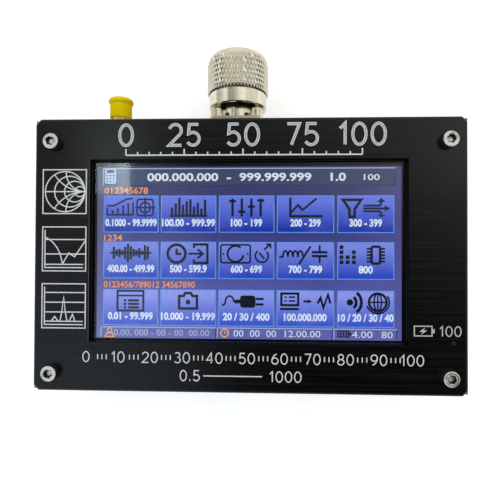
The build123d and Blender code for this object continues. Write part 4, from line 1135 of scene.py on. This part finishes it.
bar_text = screen_sheet(0.03, 0.003)
for text, x, y, height, width, bold in (
    ("000.000.000  -  999.999.999    1.0", -0.6, 22.45, 2.5, 62.2, 0.28),
    ("100", 38.4, 22.6, 1.9, 4.9, 0.12),
    ("00  00  00", 2.4, STATUS_TEXT_FOOT, 2.1, 13.2, 0.0),
    ("12.00.00", 17.2, STATUS_TEXT_FOOT, 2.1, 11.0, 0.0),
    ("4.00", 35.5, STATUS_TEXT_FOOT, 2.1, 6.3, 0.0),
    ("80", 43.1, STATUS_TEXT_FOOT, 2.1, 3.4, 0.0),
):
    bar_text.words(text, x, y, height, width, bold)
lit(bar_text, "bar_text", "bar_text_glow", rgb(232, 238, 250), pattern=False)
faint_text = screen_sheet(0.03, 0.003)
faint_text.words("0.00, 000 - 00 - 00  00.00", -26.9, STATUS_TEXT_FOOT, 2.0, 30.1)
lit(faint_text, "faint_text", "faint_text_glow", rgb(184, 192, 232), pattern=False)

calculator = screen_sheet(0.024, 0.004, -43.4, 24.0)
calculator.prism(rounded_box(-1.8, -2.4, 1.8, 2.4, 0.5))
lit(calculator, "calculator_mark", "calculator_glow", rgb(190, 206, 255), pattern=False)
keys = screen_sheet(0.032, 0.003, -43.4, 24.0)
keys.prism(box_points(-1.2, 1.0, 1.2, 1.95))
for row in range(3):
    for column in range(3):
        x, y = -1.35 + 1.05 * column, -0.05 - 0.97 * row
        keys.prism(box_points(x, y, x + 0.5, y + 0.44))
lit(keys, "calculator_keys", "key_glow", rgb(0, 12, 66), pattern=False)

person_and_clock = screen_sheet(0.024, 0.004, -43.3, -25.1)
person_and_clock.loop(circle(0, 0.55, 0.7, 16), 0.36)
shoulders = [(-1.45, -1.45), (-0.8, -0.35), (0.8, -0.35), (1.45, -1.45)]
person_and_clock.loop(shoulders, 0.36)
person_and_clock.shift = (SCREEN.x - 7.0, SCREEN.y - 25.1)
person_and_clock.loop(circle(0, 0, 1.2, 20), 0.42)
person_and_clock.line([(0, 0.7), (0, 0), (0.6, 0)], 0.3)
lit(person_and_clock, "status_marks", "orange_glow", rgb(248, 176, 96), pattern=False)
battery_mark = screen_sheet(0.024, 0.004, 29.8, -25.0)
battery_mark.loop(box_points(-1.7, -0.9, 1.6, 0.9), 0.36)
battery_mark.prism(box_points(1.8, -0.45, 2.3, 0.45))
for x in (-1.1, -0.2, 0.7):
    battery_mark.prism(box_points(x, -0.6, x + 0.5, 0.6))
lit(battery_mark, "battery_mark", "battery_ink", rgb(20, 20, 52), pattern=False)


# ------------------------------------------------------------- turned and knurled parts
class Turned:
    """Rings of points round an axis, joined into walls."""

    def __init__(self, columns, place):
        """place gives the point for a radius, an angle and a height."""
        self.columns = columns
        self.place = place
        self.vertices = []
        self.faces = []

    def ring(self, radius, height):
        """One ring. Its radius is a number, or a function of the column."""
        start = len(self.vertices)
        for c in range(self.columns):
            r = radius(c) if callable(radius) else radius
            self.vertices.append(self.place(r, 2 * pi * c / self.columns, height))
        return start

    def rings(self, outline):
        return [self.ring(radius, height) for radius, height in outline]

    def join(self, rings):
        for first, second in zip(rings, rings[1:]):
            for c in range(self.columns):
                n = (c + 1) % self.columns
                self.faces.append([first + c, first + n, second + n, second + c])


def round_connector(axis_x):
    """Places round a connector's axis, at heights over the case's top wall."""

    def place(radius, angle, height):
        return (axis_x + radius * sin(angle), WALL_Y + height, AXIS_Z + radius * cos(angle))

    return place


def thread_cut(turns, sharpness):
    """How deep a thread is cut, from 0 to 1, after a number of turns."""
    return max(0.0, 1 - abs(turns % 1.0 - 0.5) * sharpness)


# The coupling nut: heights are over the case's top wall, and the knurl's mesh has ACROSS
# columns for each tooth.
TEETH = 56
ACROSS = 8
COLUMNS = TEETH * ACROSS
KNURL_DEPTH = 0.36
NOTCH_DEPTH = 0.8
NOTCH_LENGTH = 0.85
NUT_FOOT = NUT_LOW.y - WALL_Y
NUT_MOUTH = NUT_HIGH.y - WALL_Y
BAND_RADIUS = 9.55
KNURL_FOOT = NUT_FOOT + KNURL_START
SKIRT_RADIUS = 8.45
SHOULDER_FOOT = NUT_FOOT + 3.35
SHOULDER_TOP = SHOULDER_FOOT + 3.0
SHOULDER_RADIUS = 6.08
THREAD_RADIUS = 7.65
NUT_PITCH = 1.058
NUT_THREAD_DEPTH = 0.42
THREAD_ROWS = 8
GROOVE_ANGLE = 20.5
tooth_width = 2 * pi * NUT_RADIUS / TEETH
axial_pitch = tooth_width / tan(radians(GROOVE_ANGLE))


def groove(value):
    """Depth share across one groove: 1 on its line, 0 half a pitch away, flat-topped."""
    away = abs((value + 0.5) % 1.0 - 0.5) * 2
    return max(0.0, min(1.0, 1.18 - 1.45 * away))


def knurl_depth(angle_share, height, fade):
    """Both families of grooves, and the notches where they run out over the lower edge."""
    turn = height / axial_pitch
    cut = KNURL_DEPTH * fade * max(groove(angle_share + turn), groove(angle_share - turn))
    notch = max(0.0, 1 - height / NOTCH_LENGTH) * NOTCH_DEPTH * groove(angle_share)
    return cut + notch


def radius_of(vertex):
    """How far a point is from the coupling nut's axis."""
    return (Vector(vertex) - Vector((NUT_X, vertex[1], AXIS_Z))).length


def nose_radius(height):
    start = NUT_MOUTH - NOSE
    if height <= start:
        return NUT_RADIUS
    share = (height - start) / NOSE
    return NUT_RADIUS - (NUT_RADIUS - NOSE_RADIUS) * share * share


def build_nut():
    """The coupling nut: foot, smooth band, knurl with its rounded nose, and inner thread."""
    nut = Turned(COLUMNS, round_connector(NUT_X))
    foot = nut.rings([
        (SHOULDER_RADIUS, SHOULDER_FOOT),
        (SKIRT_RADIUS, SHOULDER_FOOT),
        (SKIRT_RADIUS, NUT_FOOT + 0.15),
        (SKIRT_RADIUS + 0.15, NUT_FOOT),
        (BAND_RADIUS - 0.2, NUT_FOOT),
        (BAND_RADIUS, NUT_FOOT + 0.2),
        (BAND_RADIUS, KNURL_FOOT - 0.5),
        (BAND_RADIUS - 0.12, KNURL_FOOT - 0.38),
        (BAND_RADIUS - 0.5, KNURL_FOOT - 0.36),
        (BAND_RADIUS - 0.5, KNURL_FOOT),
    ])
    # Knurl rows, spaced so that both families of grooves run through the grid's corners.
    knurl = []
    height = KNURL_FOOT
    while height < NUT_MOUTH - 0.35:
        fade = max(0.0, min(1.0, (NUT_MOUTH - 0.5 - height) / 1.2))
        base = nose_radius(height)
        over_foot = height - KNURL_FOOT
        knurl.append(nut.ring(lambda c: base - knurl_depth(c / ACROSS, over_foot, fade), height))
        height += axial_pitch / ACROSS
    nut.join(foot + knurl[:1])
    first_flat = len(nut.faces)
    for first, second in zip(knurl, knurl[1:]):
        for c in range(COLUMNS):
            n = (c + 1) % COLUMNS
            a, b, d, e = first + c, first + n, second + n, second + c
            # The split that keeps a groove's bottom or a tooth's ridge whole.
            ra, rb, rd, re = (radius_of(nut.vertices[i]) for i in (a, b, d, e))
            if abs(ra - rd) <= abs(rb - re):
                nut.faces += [[a, b, d], [a, d, e]]
            else:
                nut.faces += [[a, b, e], [b, d, e]]
    past_flat = len(nut.faces)
    # Mouth, thread and shoulder.
    inside = knurl[-1:] + nut.rings([(NOSE_RADIUS, NUT_MOUTH), (THREAD_RADIUS + 0.6, NUT_MOUTH)])
    height = NUT_MOUTH - 0.45
    while height > SHOULDER_TOP + 0.4:
        depth = NUT_THREAD_DEPTH * min(1.0, NUT_MOUTH - height)

        def wall(c):
            return THREAD_RADIUS + depth * thread_cut(height / NUT_PITCH + c / COLUMNS, 2.6)

        inside.append(nut.ring(wall, height))
        height -= NUT_PITCH / THREAD_ROWS
    inside += nut.rings([(THREAD_RADIUS, SHOULDER_TOP), (SHOULDER_RADIUS, SHOULDER_TOP)])
    nut.join(inside + foot[:1])
    made = piece("knurled_coupling_nut", nut.vertices, nut.faces, nut_nickel, "coupling_nut", 32)
    smooth = [not first_flat <= i < past_flat for i in range(len(nut.faces))]
    made.data.polygons.foreach_set("use_smooth", smooth)
    made.data.update()
    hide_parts("n_coupling_nut")


build_nut()


def hexagon(columns, inner_radius, turned_by=0.0):
    """The radius of a hexagon's sides, by column, from the radius to its flats."""

    def side(c):
        return inner_radius / cos(radians((360 * c / columns + turned_by) % 60 - 30))

    return side


def build_sma_body():
    """The jack's threaded barrel, its hex inside the wall and its stub."""
    columns = 60
    barrel, bore, stub = 3.12, 2.02, 2.8
    hex_low, hex_high = -4.5, -2.5
    hex_radius = 4.0
    pitch, depth = 0.706, 0.34
    foot, thread_end = SMA_LOW.y - WALL_Y, SMA_HIGH.y - WALL_Y
    jack = Turned(columns, round_connector(SMA_X))
    rings = jack.rings([
        (bore, foot),
        (stub, foot),
        (stub, hex_low),
        (hexagon(columns, hex_radius), hex_low),
        (hexagon(columns, hex_radius), hex_high),
        (barrel - 0.2, hex_high),
    ])
    height = -2.3
    while height < thread_end - 0.05:
        crest = barrel - 0.25 * (1 - min(1.0, (thread_end - height) / 0.5))

        def wall(c):
            return crest - depth * thread_cut(height / pitch - c / columns, 2.4)

        rings.append(jack.ring(wall, height))
        height += pitch / THREAD_ROWS
    rings += jack.rings(
        [(barrel - 0.28, thread_end), (bore + 0.15, thread_end), (bore, thread_end - 0.15)]
    )
    jack.join(rings + rings[:1])
    made = piece("threaded_sma_body", jack.vertices, jack.faces, gold, "root", 40)
    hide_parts("sma_body")


build_sma_body()


def cap_screw(centre_x, centre_y):
    """One socket cap screw with a knurled head, a chamfered rim and a drilled hex socket."""
    ridges, per_ridge = 40, 4
    columns = ridges * per_ridge
    head, shank = SCREW_HEAD_RADIUS, 1.5
    bottom, top = SCREWS_LOW.z, SCREWS_HIGH.z
    socket = hexagon(columns, 1.25, turned_by=12)

    def place(radius, angle, height):
        return (centre_x + radius * cos(angle), centre_y + radius * sin(angle), height)

    def knurled(c):
        return head - 0.09 * abs(c / per_ridge % 1.0 - 0.5) * 2

    screw = Turned(columns, place)
    rings = screw.rings([
        (0.02, bottom),
        (shank - 0.25, bottom),
        (shank, bottom + 0.3),
        (shank, FRONT_Z),
        (head - 0.2, FRONT_Z),
        (knurled, FRONT_Z + 0.12),
        (knurled, top - 0.34),
        (head - 0.09, top - 0.3),
        (head - 0.3, top),
        (1.5, top),
        (socket, top - 0.1),
        (socket, top - 0.9),
        (0.9, top - 1.0),
        (0.02, top - 1.25),
    ])
    screw.join(rings)
    screw.faces.append([rings[0] + c for c in range(columns)][::-1])
    screw.faces.append([rings[-1] + c for c in range(columns)])
    return screw


def build_cap_screws():
    """The front panel's four screws as one mesh, in the places that their node's box gives."""
    reach = Vector((SCREW_HEAD_RADIUS, SCREW_HEAD_RADIUS, 0))
    low, high = SCREWS_LOW + reach, SCREWS_HIGH - reach
    vertices, faces = [], []
    for centre_x in (low.x, high.x):
        for centre_y in (low.y, high.y):
            screw = cap_screw(centre_x, centre_y)
            add_mesh(vertices, faces, screw.vertices, screw.faces)
    made = piece("socket_cap_screws", vertices, faces, cap_steel, "root", 28)
    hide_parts("front_panel_screws")


build_cap_screws()


# ------------------------------------------------------------------- small side details
def build_switch_marks():
    """White I and O moulded into the rocker's two faces."""
    low, high = box_mm("switch_rocker")
    middle_z = (low.z + high.z) / 2
    centre_y = (low.y + high.y) / 2
    # The rocker's pivot behind the wall, and how far its faces stand out from the pivot.
    pivot_x = FRAME_HIGH.x - 1.2
    face_middle, face_end, face_length = 2.2, 3.6, 4.482
    tilt = radians(10)
    vertices, faces = [], []

    def place(side, u, v, lift):
        """A point on one rocker face: u along it from the middle, v across it."""
        x = face_middle + (face_end - face_middle) / face_length * abs(u) + lift
        y = u * side
        px = pivot_x + x * cos(tilt) - y * sin(tilt)
        py = centre_y + x * sin(tilt) + y * cos(tilt)
        return (px, py, middle_z + v)

    def strip(points, width, side, closed=False):
        mark = Sheet(0.0, 0.02)
        mark.line(points, width, closed)
        points = [place(side, u, v, w + 0.015) for u, v, w in mark.vertices]
        add_mesh(vertices, faces, points, mark.faces)

    strip([(2.1, -0.85), (2.1, 0.85)], 0.32, 1)
    strip(arc(2.3, 0.0, 0.75, 0.95, 0, 342, 19), 0.3, -1, closed=True)
    paint = moulded("switch_paint", grey(228), grey(206), 0.5, 3000)
    piece("rocker_marks", vertices, faces, paint, "rocker")


build_switch_marks()


# A block's six sides, with its corners counted along Z first, then Y, then X.
BLOCK_FACES = ((0, 1, 3, 2), (4, 6, 7, 5), (0, 4, 5, 1), (2, 3, 7, 6), (0, 2, 6, 4), (1, 5, 7, 3))


def build_usb_contacts():
    """Gold pads on both faces of each socket's tongue."""
    pads, pad_pitch, half_width, length, thickness = 12, 0.5, 0.13, 3.4, 0.02
    tip_depth, half_tongue = 1.2, 0.35
    vertices, faces = [], []
    for node_name, side in (("charge_usb_socket", 1), ("data_usb_socket", -1)):
        low, high = box_mm(node_name)
        middle = (low + high) / 2
        tip = (high.x if side > 0 else low.x) - side * tip_depth
        for k in range(pads):
            y = middle.y + pad_pitch * (k - (pads - 1) / 2)
            for face_side in (-1, 1):
                z = middle.z + face_side * half_tongue
                block = [
                    (px, py, pz)
                    for px in sorted((tip, tip - side * length))
                    for py in (y - half_width, y + half_width)
                    for pz in sorted((z, z + face_side * thickness))
                ]
                add_mesh(vertices, faces, block, BLOCK_FACES)
    piece("usb_contact_pads", vertices, faces, gold)


build_usb_contacts()

# ----------------------------------------------------------------------- floor and light
FLOOR_Z = -0.00008
REACH = 3.0
floor_corners = [(x, y, FLOOR_Z) for x, y in box_points(-REACH, -REACH, REACH, REACH)]
floor_mesh = bpy.data.meshes.new("floor")
floor_mesh.from_pydata(floor_corners, [], [(0, 1, 2, 3)])
floor_plane = bpy.data.objects.new("floor", floor_mesh)
bpy.context.scene.collection.objects.link(floor_plane)

g = Graph("floor_paper")
path = g.nodes.new("ShaderNodeLightPath")
seen = g.math("MAXIMUM", path.outputs["Is Camera Ray"], path.outputs["Is Glossy Ray"])
seen = g.math("MAXIMUM", seen, path.outputs["Is Transmission Ray"])
paper = g.surface(
    Base_Color=g.ramp(g.noise(40, 3), [(0.3, grey(222)), (0.7, grey(228))]),
    Roughness=0.9,
    Specular_IOR_Level=0.1,
    Emission_Color=(1, 1, 1, 1),
    Emission_Strength=g.product(seen, 0.56),
)
floor_mesh.materials.append(paper)

world = bpy.data.worlds.new("studio")
bpy.context.scene.world = world
# The room: pale walls, a ceiling that is grey on the left and at the upper right, and a
# dark place between them, where whoever takes the picture stands over the object.
g = Graph("studio", world)
x, y, z = g.axes()
above = g.math("MAXIMUM", z, 0.02)
across = g.math("DIVIDE", x, above)
along = g.math("DIVIDE", y, above)
left_ceiling = g.span(across, -0.26, -0.08, 1.0, 0.0, smooth=True)
left_ceiling = g.product(left_ceiling, g.span(along, -0.3, 0.3, 1.3, 0.12))
corner = g.math("ADD", g.product(across, 0.53), g.product(along, 0.85))
right_ceiling = g.span(corner, 0.05, 0.5, 0.0, 0.95, smooth=True)
ceiling = g.math("MAXIMUM", left_ceiling, right_ceiling)
# The walls end below the ceiling, and are duller at their feet and on the left.
walls = g.span(z, 0.66, 0.8, 1.0, 0.0, smooth=True)
walls = g.product(walls, g.span(z, 0.0, 0.45, 0.7, 1.0), g.span(x, -0.98, -0.6, 0.6, 1.0))
level = g.math("ADD", g.product(walls, 0.95), ceiling)
level = g.math("MINIMUM", level, g.span(left_ceiling, 0.9, 1.3, 0.95, 1.3))
room = g.nodes.new("ShaderNodeBackground")
g.put(room.inputs["Color"], g.mix(left_ceiling, (1.0, 0.99, 0.97, 1), (0.76, 0.87, 1.0, 1)))
g.put(room.inputs["Strength"], level)
white = g.nodes.new("ShaderNodeBackground")
white.inputs["Color"].default_value = (1, 1, 1, 1)
both = g.nodes.new("ShaderNodeMixShader")
g.put(both.inputs[0], g.nodes.new("ShaderNodeLightPath").outputs["Is Camera Ray"])
g.put(both.inputs[1], room.outputs[0])
g.put(both.inputs[2], white.outputs[0])
g.put(g.nodes.new("ShaderNodeOutputWorld").inputs["Surface"], both.outputs[0])


def area_light(name, place, size_x, size_y, radiance, colour=(1, 1, 1)):
    """A level rectangular lamp of an even radiance, facing down."""
    data = bpy.data.lights.new(name, "AREA")
    data.shape = "RECTANGLE"
    data.size = size_x
    data.size_y = size_y
    data.energy = radiance * pi * size_x * size_y
    data.color = colour
    lamp = bpy.data.objects.new(name, data)
    lamp.location = place
    bpy.context.scene.collection.objects.link(lamp)
    return lamp


area_light("ceiling_panel", (-0.25, 0.66, 0.62), 1.3, 0.8, 0.26, (1.0, 0.99, 0.96))
# A curtained window on the left: its image lies in the glass's upper left corner.
for number, (fold_x, radiance) in enumerate(((-0.272, 2.6), (-0.252, 4.4), (-0.232, 7.0)), 1):
    area_light(f"curtain_{number}", (fold_x, 0.167, 0.60), 0.02, 0.13, radiance, (0.88, 1.0, 1.0))
# A wide even fill, too high and soft to show in the metal.
fill = area_light("wide_fill", (0.1, 0.2, 1.4), 2.4, 2.4, 0.16)
fill.visible_glossy = False
area_light("window_strip", (0.34, 0.33, 0.62), 0.04, 0.4, 2.4, (1.0, 0.99, 0.95))

# ------------------------------------------------------------------------------ camera
# The camera solved from the photograph: its focal length and width in pixels, and its place.
FOCAL_LENGTH, PHOTO_WIDTH = 430, 500
camera_data = bpy.data.cameras.new("camera")
camera_data.sensor_width = 36.0
camera_data.lens = camera_data.sensor_width * FOCAL_LENGTH / PHOTO_WIDTH
camera_data.clip_start = 0.005
camera_data.clip_end = 20.0
camera = bpy.data.objects.new("camera", camera_data)
bpy.context.scene.collection.objects.link(camera)
EYE = Vector((5.617, -0.144, 157.388)) * MM
turn = Matrix.Rotation(radians(0.234), 4, "Z")
turn = turn @ Matrix.Rotation(radians(2.108), 4, "Y") @ Matrix.Rotation(radians(0.734), 4, "X")
camera.matrix_world = Matrix.Translation(EYE) @ turn
bpy.context.scene.camera = camera
bpy.context.scene.view_settings.view_transform = "Standard"
